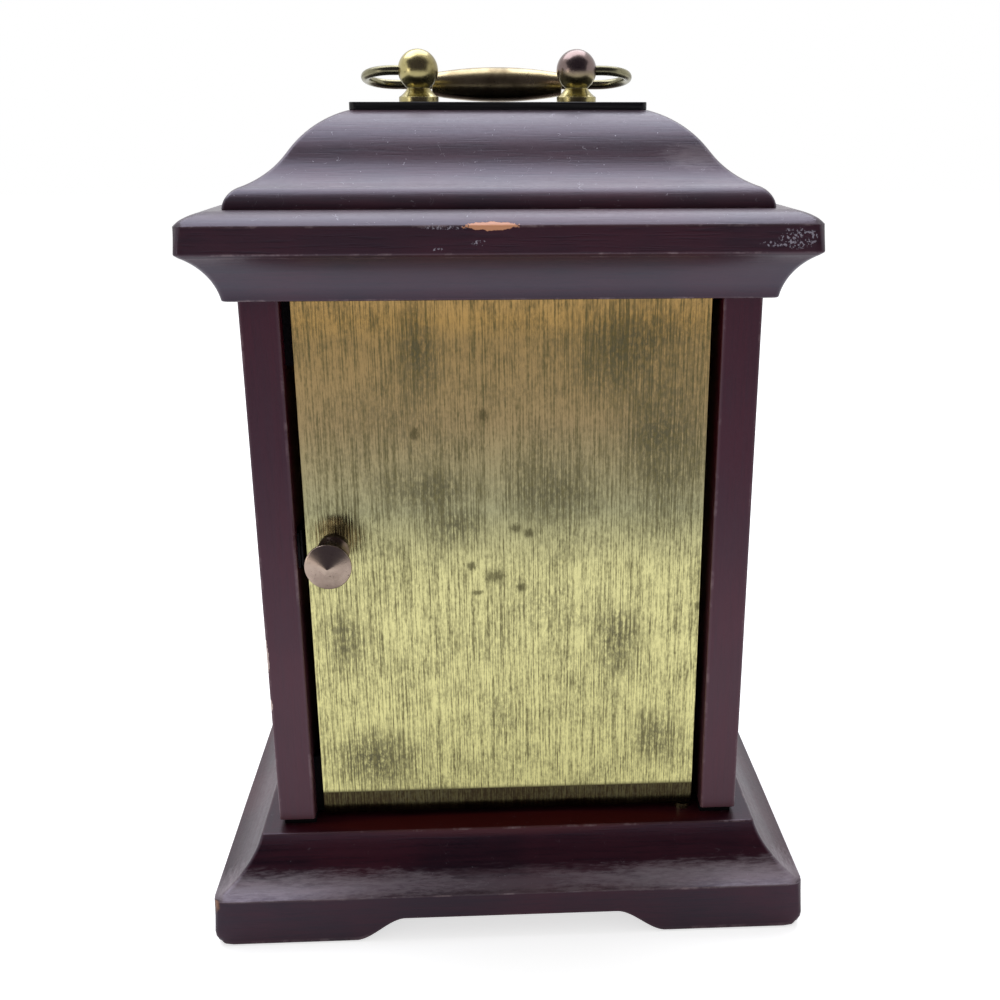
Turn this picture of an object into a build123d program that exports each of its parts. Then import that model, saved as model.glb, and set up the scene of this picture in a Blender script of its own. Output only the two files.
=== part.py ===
from build123d import *
import math
import os

os.makedirs("parts", exist_ok=True)

# Lengths are in millimetres and angles in degrees. Z is up, the floor is at zero, the clock's
# middle is over the origin, the brass back door faces -Y and the dial faces +Y.
# Depths run from the back faces of the side panels towards the dial.

# Case body, between the outer faces of the side panels
body_width = 106.0
body_depth = 66.0
body_height = 120.0
panel_thickness = 8.1
panel_edge_round = 0.6
front_frame_thickness = 6.0
front_stile_width = 14.0
front_rail_height = 14.0
floor_thickness = 1.3
floor_side_setback = 1.0
floor_lip_setback = 0.8

# Base, with overhangs from the body's outer faces
base_height = 22.3
base_top_overhang = 3.8
base_overhang = 13.9
base_fascia_height = 11.2
base_rail_thickness = 10.0
base_flange_thickness = 10.0
base_bevel_shares = (0.475, 0.28)
base_cove_shares = (0.375, 0.455)
foot_share = 0.67
arch_run_share = 0.74
arch_height = 5.5

# Cornice on top of the body
cornice_height = 17.4
cornice_soffit_overhang = 2.7
cavetto_top_overhang = 8.9
cavetto_height = 9.0
cavetto_shares = (0.36, 0.60)
cornice_overhang = 9.65
fascia_bottom_height = 9.6
fascia_top_height = 14.9
ledge_back_overhang = 3.6
ledge_shares = (0.545, 0.68)
roof_board_thickness = 10.0

# Bell on top of the cornice, up to the flat cap
bell_height = 18.4
bell_foot_overhang = 1.4
bell_setback = 21.8
bell_core_setback = 24.0
ovolo_shares = (0.035, 0.125)
ovolo_end_shares = (0.145, 0.225)
hollow_shares = (0.375, 0.385)
hollow_end_shares = (0.505, 0.570)
shoulder_shares = (0.690, 0.790)
cap_setback = 21.9
cap_thickness = 1.6
cap_corner_radius = 1.5

# Back door, its hinge pins, catch and knob
door_width = 86.0
door_thickness = 1.5
door_recess = 2.4
door_bottom_gap = 1.5
door_top_gap = 0.6
hinge_inset = 1.8
knuckle_radius = 1.5
knuckle_height = 6.0
pin_radius = 0.8
pin_clearance = 0.05
pin_depth = 4.0
pin_collar_radius = 1.9
collar_clearance = 0.2
knob_edge_distance = 5.8
knob_height = 66.2
knob_face_radius = 4.9
knob_cone_height = 1.9
knob_stand = 12.8
knob_collar_radius = 3.5
knob_collar_height = 1.1
knob_neck_radius = 2.2
knob_rim = 0.7
screw_clearance = 0.04
knob_screw_radius = 1.0
knob_screw_depth = 4.5
stop_width = 3.0
stop_depth = 4.0
stop_height = 14.0
stop_clearance = 0.3
catch_thickness = 0.5
catch_length = 11.0
catch_height = 8.0
catch_bump_radius = 0.9

# Carrying handle: ball posts, wire loops and barrel grip
post_spacing = 34.0
ball_radius = 4.3
pivot_height = 6.5
post_neck_radius = 2.4
post_flange_radius = 4.25
post_flange_height = 1.4
post_bevel_height = 2.5
stud_radius = 1.5
stud_length = 12.0
wire_radius = 1.0
wire_hole_depth = 3.0
wire_clearance = 0.05
bail_reach = 13.0
bail_straight = 5.2
grip_radius = 3.65
grip_end_radius = 2.4
grip_length = 29.0
grip_rest_gap = 0.3

# Glass, dial and hands
sight_liner_thickness = 1.2
sight_flange_width = 2.6
sight_flange_thickness = 1.0
glass_thickness = 2.0
glass_margin = 2.5
glass_clearance = 0.1
batten_width = 6.0
batten_thickness = 5.8
batten_end_gap = 8.0
dial_thickness = 1.0
dial_side_gap = 1.3
dial_lap = 4.0
dial_hole_radius = 3.4
chapter_margin = 2.0
chapter_width = 11.5
chapter_thickness = 0.6
hand_thickness = 0.5
hand_end_gap = 4.0
minute_hand_width = 2.2
hour_hand_width = 3.4
hand_hub_radius = 3.2
hand_tail_length = 6.0
hand_gap = 0.7
minute_hand_angle = 150.0
hour_hand_angle = 35.0
dial_screw_radius = 1.0
dial_screw_side_inset = 2.0
dial_screw_end_inset = 4.0

# Movement frame, around the dial's middle
plate_thickness = 1.5
plate_gap = 16.0
dial_post_length = 5.0
plate_half_width = 30.0
plate_top = 27.0
plate_bottom = 34.0
plate_corner_radius = 3.0
pillar_radius = 2.2
pillar_half_spacing = 26.0
pillar_top = 23.0
pillar_bottom = 30.0
screw_head_radius = 1.9
screw_head_height = 1.1
screw_shank_radius = 1.0
screw_slot_width = 0.5
screw_slot_depth = 0.4
screw_reach = 4.0
dial_post_radius = 1.8
dial_post_half_spacing = 22.0
dial_post_top = 19.0
dial_post_bottom = 22.0

# Wheels and pinions
coarse_module = 0.4
fine_module = 0.3
barrel_teeth = 72
centre_leaves = 12
centre_teeth = 75
third_leaves = 10
third_teeth = 80
fourth_leaves = 10
fourth_teeth = 70
escape_leaves = 7
escape_teeth = 15
cannon_leaves = 12
minute_teeth = 36
minute_leaves = 10
hour_teeth = 40
addendum_share = 0.85
dedendum_share = 1.25
root_half_share = 0.26
tip_half_share = 0.10
barrel_angle = 270.0
third_angle = 135.0
fourth_angle = 27.0
escape_angle = 5.0
lever_angle = 310.0
pallet_angle = 36.5
minute_wheel_angle = 300.0
wheel_thickness = 1.0
fine_wheel_thickness = 0.8
spoke_width = 1.6
wheel_rim_share = 0.80
wheel_hub_share = 0.26
arbor_clearance = 0.05

# Depths of the layers between the plates, from the back plate's inner face
barrel_start = 2.5
barrel_tooth_height = 2.0
barrel_height = 9.0
barrel_wall = 0.9
barrel_drum_radius = 12.9
barrel_core_radius = 3.0
barrel_arbor_radius = 1.8
barrel_pivot_radius = 1.1
spring_turns = 7
spring_thickness = 0.45
spring_gap = 0.3
spring_points_per_turn = 20
centre_pinion_start = 2.0
centre_pinion_length = 3.5
centre_pipe_radius = 1.8
centre_arbor_radius = 1.2
centre_wheel_start = 13.0
third_arbor_radius = 0.8
third_pinion_start = 12.0
third_pinion_length = 3.0
third_wheel_start = 9.0
fourth_arbor_radius = 0.7
fourth_pinion_start = 8.0
fourth_pinion_length = 3.0
fourth_wheel_start = 5.0
escape_arbor_radius = 0.5
escape_pinion_start = 4.0
escape_pinion_length = 3.0
escape_wheel_start = 2.2
escape_radius = 4.0
escape_root_radius = 3.0
escape_tooth_lean = 8.0
lever_thickness = 0.7
lever_arm_width = 0.9
lever_clearance = 0.5
fork_length = 6.3
lever_arbor_radius = 0.5

# Behind the back plate, as shares of the room between its back face and the door
key_start_share = 0.40
key_door_gap_share = 0.25
set_knob_start_share = 0.14
set_knob_share = 0.17
balance_start_share = 0.14
balance_share = 0.05
hairspring_start_share = 0.225
cock_start_share = 0.277
cock_share = 0.06

# The pieces behind the back plate
ratchet_gap = 0.5
ratchet_thickness = 1.2
ratchet_teeth = 24
ratchet_radius = 7.0
ratchet_root_radius = 6.2
click_distance = 11.0
click_angle = 200.0
click_tip_angle = 168.0
click_radius = 1.9
click_tip_gap = 0.2
click_screw_radius = 0.9
click_spring_thickness = 0.4
click_spring_length = 9.0
click_spring_gap = 0.6
arbor_square = 2.5
key_hub_radius = 2.8
key_thickness = 1.6
key_wing_share = 0.975
key_wing_offset = 7.0
key_hole_share = 0.55
set_knob_radius = 5.4
set_knob_ribs = 30
set_knob_rib_depth = 0.4
balance_radius = 7.0
balance_rim = 1.0
balance_arbor_radius = 0.5
hairspring_height = 0.5
hairspring_thickness = 0.18
hairspring_turns = 6
hairspring_inner_radius = 1.2
hairspring_outer_radius = 4.6
collet_radius = 1.0
cock_width = 5.0
cock_foot_angle = 285.0
cock_foot_distance = 11.5
cock_foot_radius = 3.2
cock_head_radius = 3.0

# Motion work in front of the front plate
motion_gap = 0.6
cannon_height = 1.6
cannon_pipe_radius = 1.85
hour_pipe_radius = 2.6
hour_pipe_clearance = 0.08
minute_pinion_height = 2.6
hour_wheel_lift = 2.2
minute_stud_radius = 0.8
stud_head_radius = 1.4
stud_head_height = 0.5
nut_radius = 1.9
nut_height = 1.0

# Screws up through the base, and one overrun for every cut
case_screw_radius = 1.4
case_screw_head_radius = 2.8
case_screw_head_height = 1.6
case_screw_length = 26.0
case_screw_end_inset = 13.0
cut_overrun = 1.0

# Worked-out levels and faces
half_width = body_width / 2
half_depth = body_depth / 2
body_bottom = base_height
body_top = base_height + body_height
cornice_top = body_top + cornice_height
bell_top = cornice_top + bell_height
cap_top = bell_top + cap_thickness
panel_inner = half_width - panel_thickness
pivot_level = cap_top + pivot_height
dial_level = body_bottom + body_height / 2
floor_setback = door_recess + knuckle_radius + pin_collar_radius + stop_clearance
foot_length = foot_share * (half_depth + base_overhang)
side_span = half_depth + base_overhang - foot_length
long_span = half_width + base_overhang - foot_length
arch_run = arch_run_share * side_span

# Depths from the front frame back to the door
frame_depth = body_depth - front_frame_thickness
glass_end = frame_depth - glass_clearance
glass_start = glass_end - glass_thickness
batten_end = glass_start - glass_clearance
dial_front_depth = batten_end - batten_thickness
dial_depth = dial_front_depth - dial_thickness
front_face_depth = dial_depth - dial_post_length
front_plate_depth = front_face_depth - plate_thickness
inner_depth = front_plate_depth - plate_gap
back_plate_depth = inner_depth - plate_thickness
back_room = back_plate_depth - door_recess - door_thickness
key_start = key_start_share * back_room
key_end = back_room - key_door_gap_share * back_room
set_knob_start = set_knob_start_share * back_room
set_knob_thickness = set_knob_share * back_room
balance_start = balance_start_share * back_room
balance_thickness = balance_share * back_room
hairspring_start = hairspring_start_share * back_room
cock_start = cock_start_share * back_room
cock_thickness = cock_share * back_room

# Lever and balance, from the escape wheel
lever_distance = escape_radius + lever_clearance + lever_arm_width
balance_distance = lever_distance + fork_length + lever_clearance + collet_radius

# Sizes that follow the opening in the front frame
open_half_width = half_width - front_stile_width
open_half_height = body_height / 2 - front_rail_height
dial_half_width = panel_inner - dial_side_gap
dial_half_height = open_half_height + dial_lap
chapter_outer_radius = min(open_half_width, open_half_height) - chapter_margin
chapter_inner_radius = chapter_outer_radius - chapter_width
minute_hand_length = chapter_outer_radius - hand_end_gap
hour_hand_length = chapter_inner_radius - hand_end_gap


def at_depth(depth):
    """Y of a depth measured from the back faces of the side panels."""
    return depth - half_depth


def block(x_low, x_high, y_low, y_high, z_low, z_high):
    """A box between two corners."""
    middle = Pos((x_low + x_high) / 2, (y_low + y_high) / 2, (z_low + z_high) / 2)
    return middle * Box(x_high - x_low, y_high - y_low, z_high - z_low)


def outline(start, *steps):
    """A closed flat face. A step is a point, or a middle point and an end point of an arc."""
    edges = []
    here = start
    for step in steps:
        if len(step) == 4:
            there = (step[2], step[3])
            edges.append(ThreePointArc(here, (step[0], step[1]), there))
        else:
            there = step
            edges.append(Line(here, there))
        here = there
    edges.append(Line(here, start))
    return make_face(edges)


def facing_back(depth, x=0, z=0):
    """A plane across the clock at a depth, with X to the right and Z up, seen from the door."""
    return Plane(origin=(x, at_depth(depth), z), x_dir=(1, 0, 0), z_dir=(0, -1, 0))


def slab(face, depth_low, depth_high, x=0, z=0):
    """A flat face drawn as seen from the door, made solid between two depths."""
    return extrude(facing_back(depth_high, x, z) * face, amount=depth_high - depth_low)


def rod(radius, depth_low, depth_high, x=0, z=0):
    """A round rod along the depth."""
    return slab(Circle(radius), depth_low, depth_high, x, z)


def polar(centre, angle, distance):
    """The point at an angle and a distance from a centre, as seen from the door."""
    turn = math.radians(angle)
    return (centre[0] + distance * math.cos(turn), centre[1] + distance * math.sin(turn))


def save(name, *solids):
    """Writes one node."""
    export_step(Compound(label=name, children=list(solids)), "parts/" + name + ".step")


def mitred_rails(section, along, across, reach_in, reach_out, top):
    """Four rails of one section round a rectangle, each cut at 45 degrees at its ends.

    The section's first coordinate is the overhang from the rectangle, its second the height.
    """
    sides = {"rear": (0, along, across), "right": (90, across, along)}
    sides["front"] = (180, along, across)
    sides["left"] = (270, across, along)
    rails = {}
    for side, (turn, length, offset) in sides.items():
        plane = Plane(origin=(0, -offset, 0), x_dir=(0, -1, 0), z_dir=(-1, 0, 0))
        long_rail = extrude(plane * section, amount=length + reach_out, both=True)
        outer_x = length + reach_out
        outer_y = -(offset + reach_out)
        inner_x = length - reach_in
        inner_y = -(offset - reach_in)
        mitres = Polyline((-outer_x, outer_y), (outer_x, outer_y), (inner_x, inner_y),
                          (-inner_x, inner_y), close=True)
        mask = extrude(make_face(mitres), amount=top)
        rails[side] = Rot(0, 0, turn) * (long_rail & mask)
    return rails


def arch_cutter(half_span, offset, turn):
    """The space under a rail between two bracket feet, with an S-shaped rise at each foot."""
    left = -half_span
    edges = [
        Line((left, -cut_overrun), (left, 0)),
        Spline((left, 0), (left + arch_run, arch_height), tangents=[(1, 0), (1, 0)]),
        Line((left + arch_run, arch_height), (-left - arch_run, arch_height)),
        Spline((-left - arch_run, arch_height), (-left, 0), tangents=[(1, 0), (1, 0)]),
        Line((-left, 0), (-left, -cut_overrun)),
        Line((-left, -cut_overrun), (left, -cut_overrun)),
    ]
    length = base_rail_thickness + 2 * cut_overrun
    outer_y = -(offset + base_overhang + cut_overrun)
    plane = Plane(origin=(0, outer_y + length, 0), x_dir=(1, 0, 0), z_dir=(0, -1, 0))
    return Rot(0, 0, turn) * extrude(plane * make_face(edges), amount=length)


def case_screw_places():
    """Where the four case screws stand."""
    across = half_width - panel_thickness / 2
    along = half_depth - case_screw_end_inset
    return [(sign_x * across, sign_y * along)
            for sign_x in (-1, 1) for sign_y in (-1, 1)]


def case_screw_holes(clearance):
    """Shank holes for the case screws, with their head recesses from below."""
    holes = []
    flange_bottom = base_height - base_flange_thickness
    for x, y in case_screw_places():
        shank = Cylinder(case_screw_radius + clearance, case_screw_length + clearance,
                         align=(Align.CENTER, Align.CENTER, Align.MIN))
        head = Cylinder(case_screw_head_radius + clearance, case_screw_head_height,
                        align=(Align.CENTER, Align.CENTER, Align.MIN))
        holes.append(Pos(x, y, flange_bottom) * (shank + head))
    return holes


def build_base():
    """Base rails with their feet, the board inside them and the thin case floor."""
    flange_bottom = base_height - base_flange_thickness
    inner_foot = base_overhang - base_rail_thickness
    bevel_x = base_top_overhang + base_bevel_shares[0] * (base_overhang - base_top_overhang)
    bevel_z = base_fascia_height + base_bevel_shares[1] * (base_height - base_fascia_height)
    cove_x = base_top_overhang + base_cove_shares[0] * (bevel_x - base_top_overhang)
    cove_z = bevel_z + base_cove_shares[1] * (base_height - bevel_z)
    section = outline(
        (inner_foot, 0),
        (base_overhang, 0),
        (base_overhang, base_fascia_height),
        (bevel_x, bevel_z),
        (cove_x, cove_z, base_top_overhang, base_height),
        (-panel_thickness, base_height),
        (-panel_thickness, flange_bottom),
        (inner_foot, flange_bottom),
    )
    rails = mitred_rails(section, half_width, half_depth, panel_thickness,
                         base_overhang + cut_overrun, base_height)
    rails["rear"] -= arch_cutter(long_span, half_depth, 0)
    rails["front"] -= arch_cutter(long_span, half_depth, 180)
    rails["right"] -= arch_cutter(side_span, half_width, 90)
    rails["left"] -= arch_cutter(side_span, half_width, 270)
    for hole in case_screw_holes(screw_clearance):
        rails["right"] -= hole
        rails["left"] -= hole
    hinge_x, hinge_y = hinge_place()
    rails["rear"] -= Pos(hinge_x, hinge_y, base_height) * Cylinder(
        pin_radius + pin_clearance, 2 * pin_depth + 2 * pin_clearance)
    save("base_long_rails", rails["rear"], rails["front"])
    save("base_end_rails", rails["left"], rails["right"])
    board_x = half_width - panel_thickness
    board_y = half_depth - panel_thickness
    save("base_board", block(-board_x, board_x, -board_y, board_y, flange_bottom, base_height))
    floor_x = half_width - floor_side_setback
    floor = block(-floor_x, floor_x, at_depth(floor_setback), at_depth(frame_depth),
                  base_height, base_height + floor_thickness)
    for low in (-floor_x, panel_inner):
        floor += block(low, low + floor_x - panel_inner, at_depth(floor_lip_setback),
                       at_depth(floor_setback), base_height, base_height + floor_thickness)
    for hole in case_screw_holes(screw_clearance):
        floor -= hole
    save("case_floor", floor)


def hinge_place():
    """X and Y of the door's hinge axis."""
    return (door_width / 2 - hinge_inset, at_depth(door_recess + knuckle_radius))


def build_case():
    """Side panels, front frame, door stops and case screws."""
    holes = case_screw_holes(screw_clearance)
    for name, sign in (("left", -1), ("right", 1)):
        middle = sign * (half_width - panel_thickness / 2)
        low, high = middle - panel_thickness / 2, middle + panel_thickness / 2
        panel = block(low, high, at_depth(0), at_depth(frame_depth),
                      base_height + floor_thickness, body_top)
        rear_edges = panel.edges().filter_by(Axis.Z).group_by(Axis.Y)[0]
        panel = fillet(rear_edges, panel_edge_round)
        for hole in holes:
            panel -= hole
        if sign < 0:
            panel -= catch_screw(screw_clearance)
        save("side_panel_" + name, panel)
    stile_in = half_width - front_stile_width
    stiles = [block(low, low + front_stile_width, at_depth(frame_depth), half_depth,
                    body_bottom, body_top)
              for low in (-half_width, stile_in)]
    rails = [block(-stile_in, stile_in, at_depth(frame_depth), half_depth,
                   low, low + front_rail_height)
             for low in (body_bottom, body_top - front_rail_height)]
    save("front_frame", *stiles, *rails)
    stop_start = at_depth(door_recess + door_thickness + stop_clearance)
    bottom = base_height + floor_thickness
    stops = [block(-panel_inner, -panel_inner + stop_width, stop_start, stop_start + stop_depth,
                   low, low + stop_height)
             for low in (bottom, body_top - stop_height)]
    save("door_stops", *stops)
    screws = []
    for x, y in case_screw_places():
        shank = Cylinder(case_screw_radius, case_screw_length,
                         align=(Align.CENTER, Align.CENTER, Align.MIN))
        head = Cylinder(case_screw_head_radius, case_screw_head_height,
                        align=(Align.CENTER, Align.CENTER, Align.MIN))
        slot = Box(2 * case_screw_head_radius, screw_slot_width, 2 * screw_slot_depth)
        flange_bottom = base_height - base_flange_thickness
        screws.append(Pos(x, y, flange_bottom) * (shank + head - slot))
    save("case_screws", *screws)


def build_cornice():
    """Cornice rails and the roof board between them."""
    cavetto_x = cornice_soffit_overhang + cavetto_shares[0] * (
        cavetto_top_overhang - cornice_soffit_overhang)
    cavetto_z = body_top + cavetto_shares[1] * cavetto_height
    fascia_top = body_top + fascia_top_height
    ledge_x = ledge_back_overhang + ledge_shares[0] * (cornice_overhang - ledge_back_overhang)
    ledge_z = fascia_top + ledge_shares[1] * (cornice_top - fascia_top)
    section = outline(
        (-panel_thickness, body_top),
        (cornice_soffit_overhang, body_top),
        (cavetto_x, cavetto_z, cavetto_top_overhang, body_top + cavetto_height),
        (cornice_overhang, body_top + fascia_bottom_height),
        (cornice_overhang, fascia_top),
        (ledge_x, ledge_z, ledge_back_overhang, cornice_top),
        (-panel_thickness, cornice_top),
    )
    rails = mitred_rails(section, half_width, half_depth, panel_thickness,
                         cornice_overhang + cut_overrun, cornice_top)
    hinge_x, hinge_y = hinge_place()
    rails["rear"] -= Pos(hinge_x, hinge_y, body_top) * Cylinder(
        pin_radius + pin_clearance, 2 * pin_depth + 2 * pin_clearance)
    save("cornice_long_rails", rails["rear"], rails["front"])
    save("cornice_end_rails", rails["left"], rails["right"])
    board_y = half_depth - panel_thickness
    board = block(-panel_inner, panel_inner, -board_y, board_y,
                  cornice_top - roof_board_thickness, cornice_top)
    save("roof_board", board)


def bell_point(shares):
    """A point of the bell's section, from its shares of the run and of the height."""
    run = bell_foot_overhang + bell_setback
    return (bell_foot_overhang - shares[0] * run, cornice_top + shares[1] * bell_height)


def build_bell():
    """Bell mouldings, their core block and the flat cap."""
    section = outline(
        (-bell_core_setback, cornice_top),
        (bell_foot_overhang, cornice_top),
        bell_point(ovolo_shares) + bell_point(ovolo_end_shares),
        bell_point(hollow_shares) + bell_point(hollow_end_shares),
        bell_point(shoulder_shares) + (-bell_setback, bell_top),
        (-bell_core_setback, bell_top),
    )
    rails = mitred_rails(section, half_width, half_depth, bell_core_setback,
                         bell_foot_overhang + cut_overrun, bell_top)
    save("bell_long_rails", rails["rear"], rails["front"])
    save("bell_end_rails", rails["left"], rails["right"])
    core_x = half_width - bell_core_setback
    core_y = half_depth - bell_core_setback
    core = block(-core_x, core_x, -core_y, core_y, cornice_top, bell_top)
    cap_x = half_width - cap_setback
    cap_y = half_depth - cap_setback
    cap = block(-cap_x, cap_x, -cap_y, cap_y, bell_top, cap_top)
    cap = fillet(cap.edges().filter_by(Axis.Z), cap_corner_radius)
    for sign in (-1, 1):
        hole = Pos(sign * post_spacing / 2, 0, cap_top - stud_length / 2) * Cylinder(
            stud_radius + screw_clearance, stud_length + 2 * screw_clearance)
        core -= hole
        cap -= hole
    save("bell_core", core)
    save("bell_cap", cap)


def build_door():
    """Brass door with its knob, hinge pins and catch."""
    thickness_start = door_recess
    thickness_end = door_recess + door_thickness
    bottom = base_height + door_bottom_gap
    top = body_top - door_top_gap
    half_door = door_width / 2
    hinge_x, hinge_y = hinge_place()
    knob_x = -half_door + knob_edge_distance
    knob_z = base_height + knob_height
    sheet = block(-half_door, half_door, at_depth(thickness_start), at_depth(thickness_end),
                  bottom, top)
    bore = pin_radius + pin_clearance
    bore_depth = pin_depth + pin_clearance
    for low in (bottom, top - knuckle_height):
        sheet += Pos(hinge_x, hinge_y, low + knuckle_height / 2) * Cylinder(
            knuckle_radius, knuckle_height)
    for level in (bottom, top):
        sheet -= Pos(hinge_x, hinge_y, level) * Cylinder(bore, 2 * bore_depth)
    sheet -= rod(knob_screw_radius + screw_clearance, thickness_start - cut_overrun,
                 thickness_end + cut_overrun, knob_x, knob_z)
    save("rear_door", sheet)

    face = thickness_start
    tip = face - knob_stand
    rim_back = tip + knob_cone_height + knob_rim
    collar = face - knob_collar_height
    waist = (rim_back + collar) / 2
    profile = outline(
        (0, at_depth(face)),
        (knob_collar_radius, at_depth(face)),
        (knob_collar_radius, at_depth(collar)),
        (knob_neck_radius, at_depth(waist), knob_face_radius, at_depth(rim_back)),
        (knob_face_radius, at_depth(tip + knob_cone_height)),
        (0, at_depth(tip)),
    )
    knob = Pos(knob_x, 0, knob_z) * revolve(profile, Axis.Y)
    knob -= rod(knob_screw_radius + screw_clearance, face - knob_screw_depth,
                face + cut_overrun, knob_x, knob_z)
    save("door_knob", knob)
    screw = rod(knob_screw_radius, face - knob_screw_depth + screw_clearance,
                thickness_end, knob_x, knob_z)
    screw += slotted_head(thickness_end, 1, knob_x, knob_z)
    save("door_knob_screw", screw)

    pins = []
    for level, sign in ((base_height, 1), (body_top, -1)):
        gap = door_bottom_gap if sign > 0 else door_top_gap
        collar_height = gap - collar_clearance
        pin_low, pin_high = sorted((level - sign * pin_depth, level + sign * pin_depth))
        collar_low, collar_high = sorted((level, level + sign * collar_height))
        pin = Pos(hinge_x, hinge_y, (pin_low + pin_high) / 2) * Cylinder(
            pin_radius, pin_high - pin_low)
        pin += Pos(hinge_x, hinge_y, (collar_low + collar_high) / 2) * Cylinder(
            pin_collar_radius, collar_high - collar_low)
        pins.append(pin)
    save("hinge_pins", *pins)

    leaf_x = -panel_inner
    bump_x = leaf_x + catch_thickness
    leaf = block(leaf_x, bump_x, at_depth(door_recess), at_depth(door_recess + catch_length),
                 knob_z - catch_height / 2, knob_z + catch_height / 2)
    bump_y = at_depth(door_recess + door_thickness + catch_bump_radius + stop_clearance)
    leaf += Pos(bump_x, bump_y, knob_z) * Cylinder(catch_bump_radius, catch_height)
    leaf -= block(leaf_x - cut_overrun - catch_bump_radius, leaf_x, bump_y - cut_overrun,
                  bump_y + cut_overrun, knob_z - catch_height, knob_z + catch_height)
    leaf -= catch_screw(screw_clearance)
    save("door_catch", leaf)


def catch_screw(clearance):
    """The catch's screw into the left panel, or its hole with a clearance."""
    leaf_face = -panel_inner + catch_thickness
    depth = door_recess + catch_length - screw_head_radius - screw_head_height
    level = base_height + knob_height
    reach = panel_thickness / 2
    shank = Pos(leaf_face - reach / 2 - clearance / 2, at_depth(depth), level) * Rot(
        0, 90, 0) * Cylinder(screw_shank_radius + clearance, reach + clearance)
    if clearance:
        return shank + Pos(leaf_face, at_depth(depth), level) * Rot(
            0, 90, 0) * Cylinder(screw_shank_radius + clearance, 2 * catch_thickness)
    head = Pos(leaf_face + screw_head_height / 2, at_depth(depth), level) * Rot(
        0, 90, 0) * Cylinder(screw_head_radius, screw_head_height)
    slot = Pos(leaf_face + screw_head_height, at_depth(depth), level) * Box(
        2 * screw_slot_depth, screw_slot_width, 2 * screw_head_radius)
    return shank + head - slot


def slotted_head(depth, direction, x, z):
    """A slotted screw head that stands from a depth towards the dial (1) or the door (-1)."""
    low, high = sorted((depth, depth + direction * screw_head_height))
    outer = depth + direction * screw_head_height
    head = rod(screw_head_radius, low, high, x, z)
    slot = slab(Rectangle(2 * screw_head_radius, screw_slot_width),
                outer - screw_slot_depth, outer + screw_slot_depth, x, z)
    return head - slot


def bail_rest_angle():
    """How far the folded bail leans below level, where its grip lies on the cap's edge."""
    drop = pivot_height - grip_radius - grip_rest_gap
    return math.degrees(math.asin(drop / bail_reach))


def build_handle():
    """Ball posts, wire loops and grip, folded towards the dial side."""
    hole_radius = wire_radius + wire_clearance
    ball_foot = math.sqrt(ball_radius ** 2 - post_neck_radius ** 2)
    neck_top = pivot_level - ball_foot
    profile = outline(
        (0, cap_top - stud_length),
        (stud_radius, cap_top - stud_length),
        (stud_radius, cap_top),
        (post_flange_radius, cap_top),
        (post_flange_radius, cap_top + post_flange_height),
        (post_neck_radius, cap_top + post_bevel_height),
        (post_neck_radius, neck_top),
        (ball_radius, pivot_level, 0, pivot_level + ball_radius),
    )
    posts = []
    for sign in (-1, 1):
        turned = revolve(Plane.XZ * profile, Axis.Z)
        hole_x = sign * (ball_radius - wire_hole_depth / 2 + cut_overrun / 2)
        turned -= Pos(hole_x, 0, pivot_level) * Rot(0, 90, 0) * Cylinder(
            hole_radius, wire_hole_depth + cut_overrun)
        posts.append(Pos(sign * post_spacing / 2, 0, 0) * turned)
    save("handle_posts", *posts)

    fold = Pos(0, 0, pivot_level) * Rot(-bail_rest_angle(), 0, 0)
    bend_radius = bail_reach / 2
    start_x = post_spacing / 2 + ball_radius - wire_hole_depth + wire_clearance
    bend_x = post_spacing / 2 + bail_straight
    end_x = grip_length / 2
    loops = []
    for sign in (-1, 1):
        path = Line((sign * start_x, 0), (sign * bend_x, 0))
        path += ThreePointArc((sign * bend_x, 0), (sign * (bend_x + bend_radius), bend_radius),
                              (sign * bend_x, bail_reach))
        path += Line((sign * bend_x, bail_reach), (sign * end_x, bail_reach))
        start = Plane(origin=(sign * start_x, 0, 0), z_dir=(sign, 0, 0))
        loops.append(fold * sweep(start * Circle(wire_radius), path=path))
    save("bail_loops", *loops)
    barrel = outline(
        (-end_x, 0),
        (-end_x, grip_end_radius),
        (0, grip_radius, end_x, grip_end_radius),
        (end_x, 0),
    )
    grip = Pos(0, bail_reach, 0) * revolve(barrel, Axis.X)
    save("bail_grip", fold * grip)


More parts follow.
